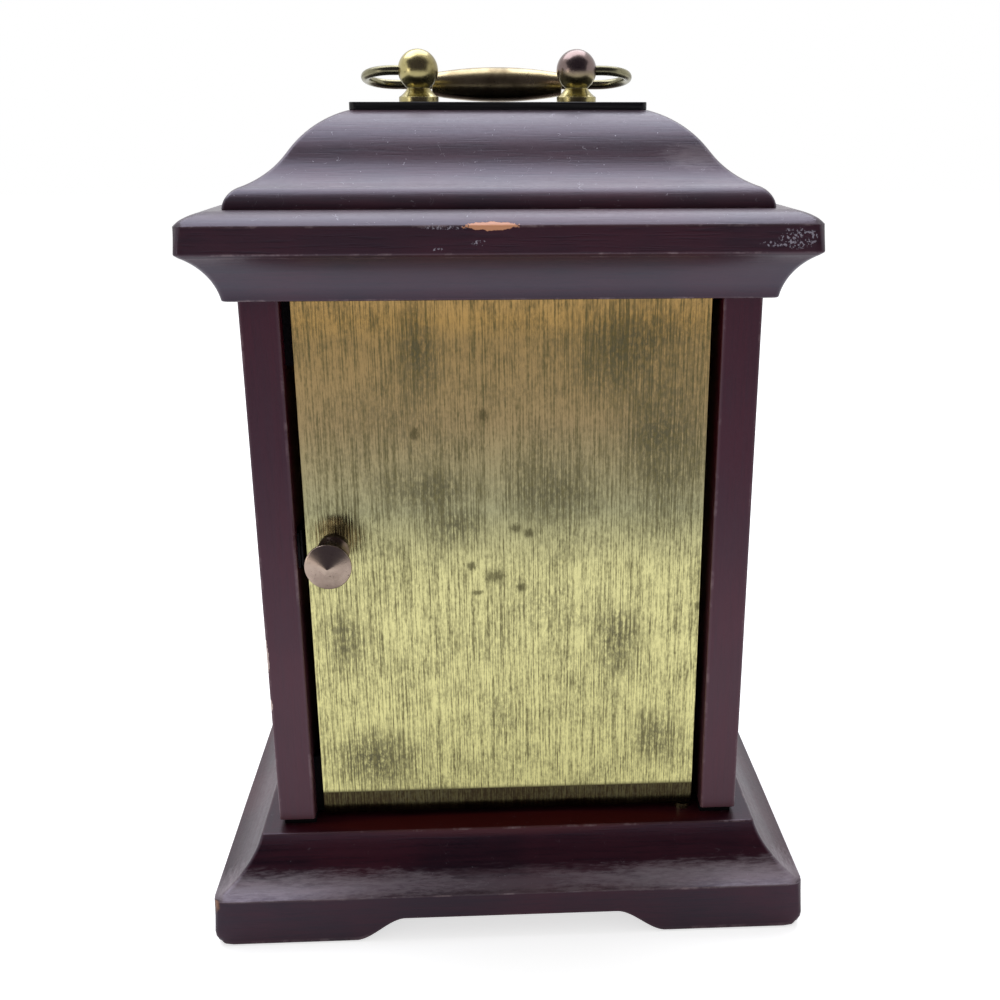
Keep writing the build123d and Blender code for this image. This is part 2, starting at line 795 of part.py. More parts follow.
def build_front():
    """Sight frame, glass, battens, dial, chapter ring and dial screws."""
    open_x = open_half_width
    open_z = open_half_height
    liner_x = open_x - sight_liner_thickness
    liner_z = open_z - sight_liner_thickness
    inside = Rectangle(2 * liner_x, 2 * liner_z)
    liner = slab(Rectangle(2 * open_x, 2 * open_z) - inside, frame_depth, body_depth, 0,
                 dial_level)
    flange_face = Rectangle(2 * (open_x + sight_flange_width - sight_liner_thickness),
                            2 * (open_z + sight_flange_width - sight_liner_thickness)) - inside
    flange = slab(flange_face, body_depth, body_depth + sight_flange_thickness, 0, dial_level)
    outer = flange.faces().sort_by(Axis.Y)[-1].outer_wire().edges()
    flange = chamfer(outer, sight_flange_thickness / 2)
    save("sight_frame", liner + flange)

    glass = slab(Rectangle(2 * (open_x + glass_margin), 2 * (open_z + glass_margin)),
                 glass_start, glass_end, 0, dial_level)
    save("front_glass", glass)
    battens = []
    for sign in (-1, 1):
        low, high = sorted((sign * panel_inner, sign * (panel_inner - batten_width)))
        battens.append(block(low, high, at_depth(dial_front_depth), at_depth(batten_end),
                             body_bottom + batten_end_gap, body_top - batten_end_gap))
    dial = slab(Rectangle(2 * dial_half_width, 2 * dial_half_height) - Circle(dial_hole_radius),
                dial_depth, dial_front_depth, 0, dial_level)
    screws = []
    for sign_x in (-1, 1):
        for sign_z in (-1, 1):
            x = sign_x * (dial_half_width - dial_screw_side_inset)
            z = dial_level + sign_z * (dial_half_height - dial_screw_end_inset)
            end = dial_front_depth + screw_reach
            hole = rod(dial_screw_radius + screw_clearance, dial_depth - cut_overrun,
                       end + screw_clearance, x, z)
            dial -= hole
            battens = [batten - hole for batten in battens]
            screws.append(rod(dial_screw_radius, dial_depth, end, x, z)
                          + slotted_head(dial_depth, -1, x, z))
    save("dial_battens", *battens)
    save("dial_plate", dial)
    save("dial_screws", *screws)
    ring = slab(Circle(chapter_outer_radius) - Circle(chapter_inner_radius),
                dial_front_depth, dial_front_depth + chapter_thickness, 0, dial_level)
    save("chapter_ring", ring)


def hand_face(length, width, hub_radius):
    """A spade hand that points along X, with its hub at zero."""
    spade = length * 3 / 4
    blade = Polyline((-hand_tail_length, -width / 2), (spade, -width / 4), (spade, width / 4),
                     (-hand_tail_length, width / 2), close=True)
    leaf = Polyline((spade - width, 0), (spade, -width), (length, 0), (spade, width), close=True)
    return make_face(blade) + make_face(leaf) + Circle(hub_radius)


def hand_levels():
    """Depths where the hour hand and the minute hand start."""
    hour_start = dial_front_depth + chapter_thickness + hand_gap
    return (hour_start, hour_start + hand_thickness + hand_gap)


def gear_face(teeth, module, phase, bore=0):
    """A toothed outline with straight flanks, one tooth centred at the phase angle."""
    pitch_radius = module * teeth / 2
    tip = pitch_radius + addendum_share * module
    root = pitch_radius - dedendum_share * module
    step = 360 / teeth
    corners = []
    for tooth in range(teeth):
        middle = phase + tooth * step
        corners.append(polar((0, 0), middle - root_half_share * step, root))
        corners.append(polar((0, 0), middle - tip_half_share * step, tip))
        corners.append(polar((0, 0), middle + tip_half_share * step, tip))
        corners.append(polar((0, 0), middle + root_half_share * step, root))
    face = make_face(Polyline(*corners, close=True))
    return face - Circle(bore) if bore else face


def mesh_phase(phase, teeth, angle, other_teeth):
    """The phase of a gear that meshes with one at a phase, seen along the line of centres."""
    step = 360 / teeth
    other_step = 360 / other_teeth
    lead = (angle - phase) % step
    return angle + 180 + lead * teeth / other_teeth + other_step / 2


def crossed(face, outer_radius, hub_radius, spokes):
    """Cuts the windows between a wheel's spokes."""
    window = Circle(outer_radius) - Circle(hub_radius)
    for spoke in range(spokes):
        window -= Rot(0, 0, 360 * spoke / spokes) * Pos(outer_radius / 2, 0) * Rectangle(
            outer_radius, spoke_width)
    return face - window


def wheel_face(teeth, module, phase, bore=0, spokes=5):
    """A toothed wheel with spokes."""
    root = module * teeth / 2 - dedendum_share * module
    face = gear_face(teeth, module, phase, bore)
    return crossed(face, root * wheel_rim_share, root * wheel_hub_share, spokes)


def spiral_face(inner_radius, outer_radius, turns, thickness, start_angle):
    """A flat spiral ribbon."""
    count = turns * spring_points_per_turn
    inner = []
    outer = []
    for index in range(count + 1):
        angle = start_angle + 360 * index / spring_points_per_turn
        radius = inner_radius + (outer_radius - thickness - inner_radius) * index / count
        inner.append(polar((0, 0), angle, radius))
        outer.append(polar((0, 0), angle, radius + thickness))
    return make_face(Polyline(*inner, *reversed(outer), close=True))


def spaced(leaves, teeth, module):
    """The distance between the arbors of two meshing gears."""
    return module * (leaves + teeth) / 2


# Arbor places, seen from the door
centre_place = (0, dial_level)
barrel_place = polar(centre_place, barrel_angle,
                     spaced(barrel_teeth, centre_leaves, coarse_module))
third_place = polar(centre_place, third_angle,
                    spaced(centre_teeth, third_leaves, coarse_module))
fourth_place = polar(third_place, fourth_angle, spaced(third_teeth, fourth_leaves, fine_module))
escape_place = polar(fourth_place, escape_angle,
                     spaced(fourth_teeth, escape_leaves, fine_module))
lever_place = polar(escape_place, lever_angle, lever_distance)
balance_place = polar(escape_place, lever_angle, balance_distance)
motion_distance = spaced(cannon_leaves, minute_teeth, coarse_module)
motion_module = 2 * motion_distance / (minute_leaves + hour_teeth)
minute_place = polar(centre_place, minute_wheel_angle, motion_distance)


def corner_places(half_x, top, bottom):
    """Four places round the dial's middle."""
    return [(sign * half_x, dial_level + level) for sign in (-1, 1) for level in (top, -bottom)]


def build_frame():
    """Movement plates, pillars, dial posts and their screws."""
    height = plate_top + plate_bottom
    middle = dial_level + (plate_top - plate_bottom) / 2
    face = RectangleRounded(2 * plate_half_width, height, plate_corner_radius)
    back = slab(face, back_plate_depth, inner_depth, 0, middle)
    front = slab(face, front_plate_depth, front_face_depth, 0, middle)
    both = [(centre_place, centre_arbor_radius), (third_place, third_arbor_radius),
            (fourth_place, fourth_arbor_radius), (escape_place, escape_arbor_radius),
            (lever_place, lever_arbor_radius), (balance_place, balance_arbor_radius)]
    for place, radius in both + [(barrel_place, barrel_arbor_radius)]:
        back -= rod(radius + arbor_clearance, back_plate_depth - cut_overrun,
                    inner_depth + cut_overrun, *place)
    for place, radius in both + [(barrel_place, barrel_pivot_radius)]:
        front -= rod(radius + arbor_clearance, front_plate_depth - cut_overrun,
                     front_face_depth + cut_overrun, *place)
    stud_end = (front_face_depth + motion_gap + wheel_thickness + minute_pinion_height
                + arbor_clearance)
    front += rod(minute_stud_radius, front_face_depth, stud_end, *minute_place)
    front += rod(stud_head_radius, stud_end, stud_end + stud_head_height, *minute_place)
    click_x, click_z = polar(barrel_place, click_angle, click_distance)
    back -= rod(click_screw_radius + screw_clearance, back_plate_depth - cut_overrun,
                inner_depth + cut_overrun, click_x, click_z)
    for place in (cock_foot_place(), click_spring_place()):
        back -= rod(screw_shank_radius + screw_clearance, back_plate_depth - cut_overrun,
                    inner_depth + cut_overrun, *place)
    pillars = []
    screws = []
    for x, z in corner_places(pillar_half_spacing, pillar_top, pillar_bottom):
        pillar = rod(pillar_radius, inner_depth, front_plate_depth, x, z)
        back_reach = inner_depth + screw_reach
        front_reach = front_plate_depth - screw_reach
        back_hole = rod(screw_shank_radius + screw_clearance, back_plate_depth - cut_overrun,
                        back_reach + screw_clearance, x, z)
        front_hole = rod(screw_shank_radius + screw_clearance, front_reach - screw_clearance,
                         front_face_depth + cut_overrun, x, z)
        back -= back_hole
        front -= front_hole
        pillars.append(pillar - back_hole - front_hole)
        screws.append(rod(screw_shank_radius, back_plate_depth, back_reach, x, z)
                      + slotted_head(back_plate_depth, -1, x, z))
        screws.append(rod(screw_shank_radius, front_reach, front_face_depth, x, z)
                      + slotted_head(front_face_depth, 1, x, z))
    posts = []
    for x, z in corner_places(dial_post_half_spacing, dial_post_top, dial_post_bottom):
        posts.append(rod(dial_post_radius, front_face_depth, dial_depth, x, z)
                     + rod(screw_shank_radius, front_plate_depth, front_face_depth, x, z))
        front -= rod(screw_shank_radius + screw_clearance, front_plate_depth - cut_overrun,
                     front_face_depth + cut_overrun, x, z)
    save("back_plate", back)
    save("front_plate", front)
    save("pillars", *pillars)
    save("plate_screws", *screws)
    save("dial_posts", *posts)


def build_barrel():
    """Mainspring barrel with its great wheel, spring, arbor, ratchet, click and key."""
    x, z = barrel_place
    start = inner_depth + barrel_start
    end = start + barrel_height
    bore = barrel_arbor_radius + arbor_clearance
    pivot_bore = barrel_pivot_radius + arbor_clearance
    drum_inner = barrel_drum_radius - barrel_wall
    core_end = end - barrel_wall
    drum = slab(gear_face(barrel_teeth, coarse_module, barrel_phase), start,
                start + barrel_tooth_height, x, z)
    drum += rod(barrel_drum_radius, start, end, x, z)
    drum -= rod(drum_inner, start + barrel_wall, end + cut_overrun, x, z)
    drum -= rod(bore, start - cut_overrun, end, x, z)
    save("mainspring_barrel", drum)
    cover = rod(drum_inner, core_end, end, x, z)
    cover -= rod(pivot_bore, start, end + cut_overrun, x, z)
    save("barrel_cover", cover)
    spring = spiral_face(barrel_core_radius + spring_gap, drum_inner - spring_gap, spring_turns,
                         spring_thickness, 0)
    save("mainspring", slab(spring, start + barrel_wall + spring_gap, core_end - spring_gap, x, z))
    square_start = back_plate_depth - ratchet_gap - ratchet_thickness
    arbor = rod(barrel_arbor_radius, square_start, start + barrel_wall + arbor_clearance, x, z)
    arbor += rod(barrel_core_radius, start + barrel_wall + arbor_clearance,
                 core_end - arbor_clearance, x, z)
    arbor += rod(barrel_pivot_radius, core_end - arbor_clearance, front_face_depth, x, z)
    arbor += slab(Rectangle(arbor_square, arbor_square), back_plate_depth - key_end + cut_overrun,
                  square_start, x, z)
    save("barrel_arbor", arbor)

    corners = []
    for tooth in range(ratchet_teeth):
        angle = click_tip_angle + (tooth + 1 / 2) * 360 / ratchet_teeth
        corners.append(polar((0, 0), angle, ratchet_radius))
        corners.append(polar((0, 0), angle, ratchet_root_radius))
    ratchet = make_face(Polyline(*corners, close=True))
    ratchet -= Circle(barrel_arbor_radius + screw_clearance)
    save("ratchet_wheel", slab(ratchet, square_start, square_start + ratchet_thickness, x, z))

    click_x, click_z = polar(barrel_place, click_angle, click_distance)
    tip_x, tip_z = polar(barrel_place, click_tip_angle, ratchet_radius + click_tip_gap)
    tip = (tip_x - click_x, tip_z - click_z)
    tilt = math.degrees(math.atan2(tip[1], tip[0]))
    arm = Polyline(polar((0, 0), tilt - 90, click_radius / 2), tip,
                   polar((0, 0), tilt + 90, click_radius), close=True)
    click = make_face(arm) + Circle(click_radius) - Circle(click_screw_radius + arbor_clearance)
    save("click", slab(click, square_start, square_start + ratchet_thickness, click_x, click_z))

    foot_x, foot_z = click_spring_place()
    strip = Pos(0, -click_spring_length / 2) * Rectangle(
        click_spring_thickness, click_spring_length)
    foot = Circle(screw_head_radius) - Circle(screw_shank_radius + screw_clearance)
    strip -= Circle(screw_shank_radius + screw_clearance)
    save("click_spring", slab(strip + foot, square_start, back_plate_depth, foot_x, foot_z))

    key_low = back_plate_depth - key_end
    key_high = back_plate_depth - key_start
    middle = at_depth((key_low + key_high) / 2)
    wing_radius = key_wing_share * (key_high - key_low) / 2
    wings = Rectangle(2 * key_wing_offset, key_hub_radius)
    for sign in (-1, 1):
        wings += Pos(sign * key_wing_offset, 0) * Circle(wing_radius)
    for sign in (-1, 1):
        wings -= Pos(sign * key_wing_offset, 0) * Circle(key_hole_share * wing_radius)
    plate = extrude(Plane.XY.offset(-key_thickness / 2) * wings, amount=key_thickness)
    key = Pos(x, middle, z) * plate
    key += rod(key_hub_radius, key_low, back_plate_depth - set_knob_start, x, z)
    key -= slab(Rectangle(arbor_square + 2 * screw_clearance, arbor_square + 2 * screw_clearance),
                key_low + cut_overrun - screw_clearance, back_plate_depth, x, z)
    save("winding_key", key)


def click_spring_place():
    """The foot of the click's spring, beside the click's outer edge."""
    click_x, click_z = polar(barrel_place, click_angle, click_distance)
    return (click_x - click_radius - click_spring_gap, click_z + click_spring_length)


def cock_foot_place():
    """The foot of the balance cock."""
    return polar(balance_place, cock_foot_angle, cock_foot_distance)


def build_train():
    """Centre arbor with its knob, and the wheels up to the escape wheel."""
    x, z = centre_place
    knob_end = back_plate_depth - set_knob_start
    knob_start = knob_end - set_knob_thickness
    hour_start, minute_start = hand_levels()
    arbor_end = minute_start + hand_thickness + nut_height
    save("centre_arbor", rod(centre_arbor_radius, knob_start, arbor_end, x, z))
    rib_circle = []
    for rib in range(set_knob_ribs):
        angle = 360 * rib / set_knob_ribs
        rib_circle.append(polar((0, 0), angle, set_knob_radius))
        rib_circle.append(polar((0, 0), angle + 180 / set_knob_ribs,
                                set_knob_radius - set_knob_rib_depth))
    knob = make_face(Polyline(*rib_circle, close=True)) - Circle(
        centre_arbor_radius + screw_clearance)
    save("set_knob", slab(knob, knob_start, knob_end, x, z))

    bore = centre_arbor_radius + arbor_clearance
    pinion_start = inner_depth + centre_pinion_start
    wheel_start = inner_depth + centre_wheel_start
    pinion = slab(gear_face(centre_leaves, coarse_module, centre_pinion_phase, bore),
                  pinion_start, pinion_start + centre_pinion_length, x, z)
    pipe = slab(Circle(centre_pipe_radius) - Circle(bore), pinion_start, wheel_start, x, z)
    wheel = slab(wheel_face(centre_teeth, coarse_module, centre_wheel_phase, bore),
                 wheel_start, wheel_start + wheel_thickness, x, z)
    save("centre_wheel", pinion + pipe + wheel)

    geared_arbor("third_wheel", third_place, third_arbor_radius,
                 (third_leaves, coarse_module, third_pinion_phase, third_pinion_start,
                  third_pinion_length),
                 (third_teeth, fine_module, third_wheel_phase, third_wheel_start))
    geared_arbor("fourth_wheel", fourth_place, fourth_arbor_radius,
                 (fourth_leaves, fine_module, fourth_pinion_phase, fourth_pinion_start,
                  fourth_pinion_length),
                 (fourth_teeth, fine_module, fourth_wheel_phase, fourth_wheel_start))

    x, z = escape_place
    corners = []
    for tooth in range(escape_teeth):
        angle = 360 * tooth / escape_teeth
        corners.append(polar((0, 0), angle, escape_root_radius))
        corners.append(polar((0, 0), angle + escape_tooth_lean, escape_radius))
    face = crossed(make_face(Polyline(*corners, close=True)),
                   escape_root_radius * wheel_rim_share, escape_arbor_radius * 2, 3)
    start = inner_depth + escape_wheel_start
    pinion_start = inner_depth + escape_pinion_start
    escape = slab(face, start, start + fine_wheel_thickness, x, z)
    escape += rod(escape_arbor_radius, back_plate_depth, front_face_depth, x, z)
    escape += slab(gear_face(escape_leaves, fine_module, escape_pinion_phase),
                   pinion_start, pinion_start + escape_pinion_length, x, z)
    save("escape_wheel", escape)


def geared_arbor(name, place, radius, pinion, wheel):
    """An arbor between the plates with one pinion and one spoked wheel on it."""
    leaves, leaf_module, leaf_phase, leaf_start, leaf_length = pinion
    teeth, module, phase, wheel_start = wheel
    start = inner_depth + leaf_start
    layer = inner_depth + wheel_start
    solid = rod(radius, back_plate_depth, front_face_depth, *place)
    solid += slab(gear_face(leaves, leaf_module, leaf_phase), start, start + leaf_length, *place)
    solid += slab(wheel_face(teeth, module, phase), layer, layer + fine_wheel_thickness, *place)
    save(name, solid)


def bar(start, end, width):
    """A straight flat bar between two points."""
    length = math.dist(start, end)
    tilt = math.degrees(math.atan2(end[1] - start[1], end[0] - start[0]))
    middle = ((start[0] + end[0]) / 2, (start[1] + end[1]) / 2)
    return Pos(middle[0], middle[1]) * Rot(0, 0, tilt) * Rectangle(length, width)


def build_escapement():
    """Lever, balance, hairspring and balance cock."""
    layer = inner_depth + escape_wheel_start
    arm_reach = escape_radius + lever_clearance + lever_arm_width / 2
    arms = []
    for sign in (-1, 1):
        pallet = polar(escape_place, lever_angle + sign * pallet_angle, arm_reach)
        local = (pallet[0] - lever_place[0], pallet[1] - lever_place[1])
        arms.append(bar((0, 0), local, lever_arm_width))
    fork = bar((0, 0), polar((0, 0), lever_angle, fork_length), lever_arm_width)
    anchor = Circle(lever_arm_width) + arms[0] + arms[1] + fork
    lever = slab(anchor, layer, layer + lever_thickness, *lever_place)
    lever += rod(lever_arbor_radius, back_plate_depth, front_face_depth, *lever_place)
    save("lever", lever)

    x, z = balance_place
    rim_end = back_plate_depth - balance_start
    rim_start = rim_end - balance_thickness
    cock_front = back_plate_depth - cock_start
    rim = Circle(balance_radius) - Circle(balance_radius - balance_rim)
    rim += Rectangle(2 * (balance_radius - balance_rim / 2), spoke_width) + Circle(
        collet_radius)
    balance = slab(rim, rim_start, rim_end, x, z)
    balance += rod(balance_arbor_radius, cock_front - cock_thickness / 2, front_face_depth, x, z)
    balance += rod(collet_radius, layer, layer + lever_thickness, x, z)
    spring_end = back_plate_depth - hairspring_start
    balance += rod(collet_radius, spring_end - hairspring_height, rim_start, x, z)
    save("balance", balance)
    spring = spiral_face(hairspring_inner_radius, hairspring_outer_radius, hairspring_turns,
                         hairspring_thickness, cock_foot_angle)
    save("hairspring", slab(spring, spring_end - hairspring_height, spring_end, x, z))

    foot_x, foot_z = cock_foot_place()
    local_foot = (foot_x - x, foot_z - z)
    head = Circle(cock_head_radius) + bar((0, 0), local_foot, cock_width)
    head += Pos(*local_foot) * Circle(cock_foot_radius)
    cock = slab(head, cock_front - cock_thickness, cock_front, x, z)
    cock += rod(cock_foot_radius, cock_front, back_plate_depth, foot_x, foot_z)
    stud_place = polar(balance_place, cock_foot_angle, hairspring_outer_radius)
    cock += rod(hairspring_height / 2, spring_end - hairspring_height, cock_front, *stud_place)
    cock -= rod(balance_arbor_radius + arbor_clearance, cock_front - cock_thickness / 2
                - arbor_clearance, cock_front + cut_overrun, x, z)
    cock -= rod(screw_shank_radius + screw_clearance, cock_front - cock_thickness - cut_overrun,
                back_plate_depth + cut_overrun, foot_x, foot_z)
    save("balance_cock", cock)


def build_small_screws():
    """The click's, the click spring's, the cock's and the door catch's screws."""
    square_start = back_plate_depth - ratchet_gap - ratchet_thickness
    places = [
        (polar(barrel_place, click_angle, click_distance), click_screw_radius,
         square_start - arbor_clearance),
        (click_spring_place(), screw_shank_radius, square_start),
        (cock_foot_place(), screw_shank_radius,
         back_plate_depth - cock_start - cock_thickness),
    ]
    screws = [rod(radius, head_depth, inner_depth, *place) + slotted_head(head_depth, -1, *place)
              for place, radius, head_depth in places]
    save("small_screws", *screws, catch_screw(0))


def build_motion_work():
    """Cannon pinion, minute wheel, hour wheel and the hands."""
    x, z = centre_place
    start = front_face_depth + motion_gap
    hour_start, minute_start = hand_levels()
    bore = centre_arbor_radius + screw_clearance
    cannon = slab(gear_face(cannon_leaves, coarse_module, 0, bore), start,
                  start + cannon_height, x, z)
    cannon += slab(Circle(cannon_pipe_radius) - Circle(bore), start, minute_start, x, z)
    save("cannon_pinion", cannon)

    stud_bore = minute_stud_radius + arbor_clearance
    pinion_start = start + wheel_thickness
    pinion_end = pinion_start + minute_pinion_height
    wheel = slab(gear_face(minute_teeth, coarse_module, minute_wheel_phase, stud_bore), start,
                 pinion_start, *minute_place)
    wheel += slab(gear_face(minute_leaves, motion_module, minute_pinion_phase, stud_bore),
                  pinion_start, pinion_end, *minute_place)
    save("minute_wheel", wheel)

    hour_bore = cannon_pipe_radius + hour_pipe_clearance
    hour_layer = start + hour_wheel_lift
    wheel = slab(gear_face(hour_teeth, motion_module, hour_wheel_phase, hour_bore), hour_layer,
                 hour_layer + wheel_thickness, x, z)
    wheel += slab(Circle(hour_pipe_radius) - Circle(hour_bore), hour_layer,
                  hour_start + hand_thickness, x, z)
    save("hour_wheel", wheel)
    hour = hand_face(hour_hand_length, hour_hand_width, hand_hub_radius + hand_thickness)
    hour = Rot(0, 0, hour_hand_angle) * hour - Circle(hour_pipe_radius + screw_clearance)
    save("hour_hand", slab(hour, hour_start, hour_start + hand_thickness, x, z))
    minute = hand_face(minute_hand_length, minute_hand_width, hand_hub_radius)
    minute = Rot(0, 0, minute_hand_angle) * minute - Circle(bore)
    minute_end = minute_start + hand_thickness
    save("minute_hand", slab(minute, minute_start, minute_end, x, z))
    nut = Circle(nut_radius) - Circle(bore)
    save("hand_nut", slab(nut, minute_end, minute_end + nut_height, x, z))


# Tooth phases that put every pair in mesh at rest
barrel_phase = 0
centre_pinion_phase = mesh_phase(barrel_phase, barrel_teeth, barrel_angle + 180, centre_leaves)
centre_wheel_phase = 0
third_pinion_phase = mesh_phase(centre_wheel_phase, centre_teeth, third_angle, third_leaves)
third_wheel_phase = 0
fourth_pinion_phase = mesh_phase(third_wheel_phase, third_teeth, fourth_angle, fourth_leaves)
fourth_wheel_phase = 0
escape_pinion_phase = mesh_phase(fourth_wheel_phase, fourth_teeth, escape_angle, escape_leaves)
minute_wheel_phase = mesh_phase(0, cannon_leaves, minute_wheel_angle, minute_teeth)
minute_pinion_phase = 0
hour_wheel_phase = mesh_phase(minute_pinion_phase, minute_leaves, minute_wheel_angle + 180,
                              hour_teeth)

build_base()
build_case()
build_cornice()
build_bell()
build_door()
build_handle()
build_front()
build_frame()
build_barrel()
build_train()
build_escapement()
build_small_screws()
build_motion_work()
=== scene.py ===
import math

import bmesh
import bpy
from mathutils import Matrix, Vector


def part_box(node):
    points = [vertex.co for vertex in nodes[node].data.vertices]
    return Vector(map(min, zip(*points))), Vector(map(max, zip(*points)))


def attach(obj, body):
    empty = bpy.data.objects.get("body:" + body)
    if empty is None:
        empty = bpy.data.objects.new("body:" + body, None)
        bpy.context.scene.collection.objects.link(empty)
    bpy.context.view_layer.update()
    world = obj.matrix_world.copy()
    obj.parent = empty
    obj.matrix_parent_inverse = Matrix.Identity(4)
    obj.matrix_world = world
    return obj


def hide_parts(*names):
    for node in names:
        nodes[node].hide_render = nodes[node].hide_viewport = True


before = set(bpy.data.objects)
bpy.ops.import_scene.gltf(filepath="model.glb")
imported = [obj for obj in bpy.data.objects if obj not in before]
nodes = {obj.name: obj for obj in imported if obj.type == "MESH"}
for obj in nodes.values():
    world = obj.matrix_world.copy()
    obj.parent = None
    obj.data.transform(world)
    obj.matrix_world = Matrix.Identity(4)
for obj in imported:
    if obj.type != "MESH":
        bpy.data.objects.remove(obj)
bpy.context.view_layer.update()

# Sizes below are in millimetres, in the frame of the CAD model: +Z up, the back door faces -Y,
# the dial faces +Y, and the middle of the base is over the origin.
MM = 0.001
MM_PER_METRE = 1000

# The body's half sizes, then the levels where one stage of the clock ends and the next starts
HALF_WIDTH = 53.0
HALF_DEPTH = 33.0
BASE_TOP = 22.3
BODY_TOP = 142.3
CORNICE_TOP = 159.7
BELL_TOP = 178.1
CAP_TOP = 179.7
PIVOT_LEVEL = 186.2
DIAL_LEVEL = 82.3

# The axis along which a board and its grain run
ACROSS, DEEP, UPRIGHT = 0, 1, 2

# Edges sharper than this stay crisp, points closer than this are one, arcs have so many steps
SHARP_EDGE = math.radians(32)
SAME_POINT = 1e-7
ARC_STEPS = 22


# ---------------------------------------------------------------- small tools

def srgb(code):
    """A hex colour as the linear colour that the shader sockets take."""
    parts = [int(code[i:i + 2], 16) / 255 for i in (1, 3, 5)]
    return [p / 12.92 if p <= 0.04045 else ((p + 0.055) / 1.055) ** 2.4 for p in parts] + [1.0]


def add(tree, kind, inputs=None, out=0, **settings):
    """Adds a node with its settings and links. Returns one output, or the node if out is None."""
    node = tree.nodes.new(kind)
    for name, value in settings.items():
        setattr(node, name, value)
    for key, value in (inputs or {}).items():
        if isinstance(value, bpy.types.NodeSocket):
            tree.links.new(value, node.inputs[key])
        else:
            node.inputs[key].default_value = value
    return node if out is None else node.outputs[out]


def unit(x, y):
    """A direction of length one."""
    size = math.hypot(x, y)
    return (x / size, y / size)


def arc_through(start, middle, end, steps):
    """Points along the arc through three points, without the first."""
    ax, ay = start
    bx, by = middle
    cx, cy = end
    spread = 2 * (ax * (by - cy) + bx * (cy - ay) + cx * (ay - by))
    a2, b2, c2 = ax * ax + ay * ay, bx * bx + by * by, cx * cx + cy * cy
    mid_x = (a2 * (by - cy) + b2 * (cy - ay) + c2 * (ay - by)) / spread
    mid_y = (a2 * (cx - bx) + b2 * (ax - cx) + c2 * (bx - ax)) / spread
    radius = math.hypot(ax - mid_x, ay - mid_y)
    first = math.atan2(ay - mid_y, ax - mid_x)
    through = math.atan2(by - mid_y, bx - mid_x)
    last = math.atan2(cy - mid_y, cx - mid_x)
    turn = (last - first) % math.tau
    if (through - first) % math.tau > turn:
        turn -= math.tau
    return [(mid_x + radius * math.cos(first + turn * i / steps),
             mid_y + radius * math.sin(first + turn * i / steps)) for i in range(1, steps + 1)]


def eased_section(steps, facets=4, margin=0.2):
    """A closed section whose arrises are eased. Returns its points and how worn each one is.

    A step is (u, v, rounding) for a straight run, or (middle u, middle v, end u, end v, rounding)
    for an arc. The rounding is the radius at the step's end point. It takes up at most nine
    tenths of a run, and a run with room to spare gets a point beside it, where the wear ends.
    """
    points = []
    for step in steps:
        if len(step) == 3:
            points.append(((step[0], step[1]), step[2]))
        else:
            arc = arc_through(points[-1][0], step[0:2], step[2:4], ARC_STEPS)
            points += [(p, 0) for p in arc[:-1]] + [(arc[-1], step[4])]
    outline = []
    worn = []
    count = len(points)
    for i in range(count):
        (x, y), radius = points[i]
        if not radius:
            outline.append((x, y))
            worn.append(0.0)
            continue
        before = points[i - 1][0]
        after = points[(i + 1) % count][0]
        back = unit(before[0] - x, before[1] - y)
        ahead = unit(after[0] - x, after[1] - y)
        half_turn = math.acos(max(-1, min(1, back[0] * ahead[0] + back[1] * ahead[1]))) / 2
        cut = min(radius / math.tan(half_turn), 0.9 * math.dist((x, y), before),
                  0.9 * math.dist((x, y), after))
        radius = cut * math.tan(half_turn)
        toward = unit(back[0] + ahead[0], back[1] + ahead[1])
        reach = radius / math.sin(half_turn)
        centre = (x + toward[0] * reach, y + toward[1] * reach)
        start = (x + back[0] * cut, y + back[1] * cut)
        end = (x + ahead[0] * cut, y + ahead[1] * cut)
        room = 2.5 * (cut + margin)
        if math.dist((x, y), before) > room:
            outline.append((x + back[0] * (cut + margin), y + back[1] * (cut + margin)))
            worn.append(0.0)
        first = math.atan2(start[1] - centre[1], start[0] - centre[0])
        last = math.atan2(end[1] - centre[1], end[0] - centre[0])
        turn = (last - first + math.pi) % math.tau - math.pi
        for k in range(facets + 1):
            angle = first + turn * k / facets
            outline.append((centre[0] + radius * math.cos(angle),
                            centre[1] + radius * math.sin(angle)))
            worn.append(1.0 if 0 < k < facets else 0.6)
        if math.dist((x, y), after) > room:
            outline.append((x + ahead[0] * (cut + margin), y + ahead[1] * (cut + margin)))
            worn.append(0.0)
    return outline, worn


class Surface:
    """Collects points, faces and wear for one piece."""

    def __init__(self):
        self.points = []
        self.worn = []
        self.faces = []

    def loft(self, rings, worn, closed_ends=True):
        """Skins a row of rings that have the same number of points."""
        base = len(self.points)
        size = len(rings[0])
        for ring in rings:
            self.points += ring
            self.worn += worn
        for i in range(len(rings) - 1):
            for j in range(size):
                a = base + i * size + j
                b = base + i * size + (j + 1) % size
                self.faces.append((a, b, b + size, a + size))
        if closed_ends:
            self.faces.append(tuple(base + j for j in reversed(range(size))))
            last = base + (len(rings) - 1) * size
            self.faces.append(tuple(last + j for j in range(size)))

    def piece(self, name, material):
        """Makes the object, with its faces outwards."""
        mesh = bpy.data.meshes.new(name)
        mesh.from_pydata([tuple(c * MM for c in p) for p in self.points], [], self.faces)
        worn = mesh.attributes.new("worn", "FLOAT", "POINT")
        worn.data.foreach_set("value", self.worn)
        return finished(name, mesh, material)


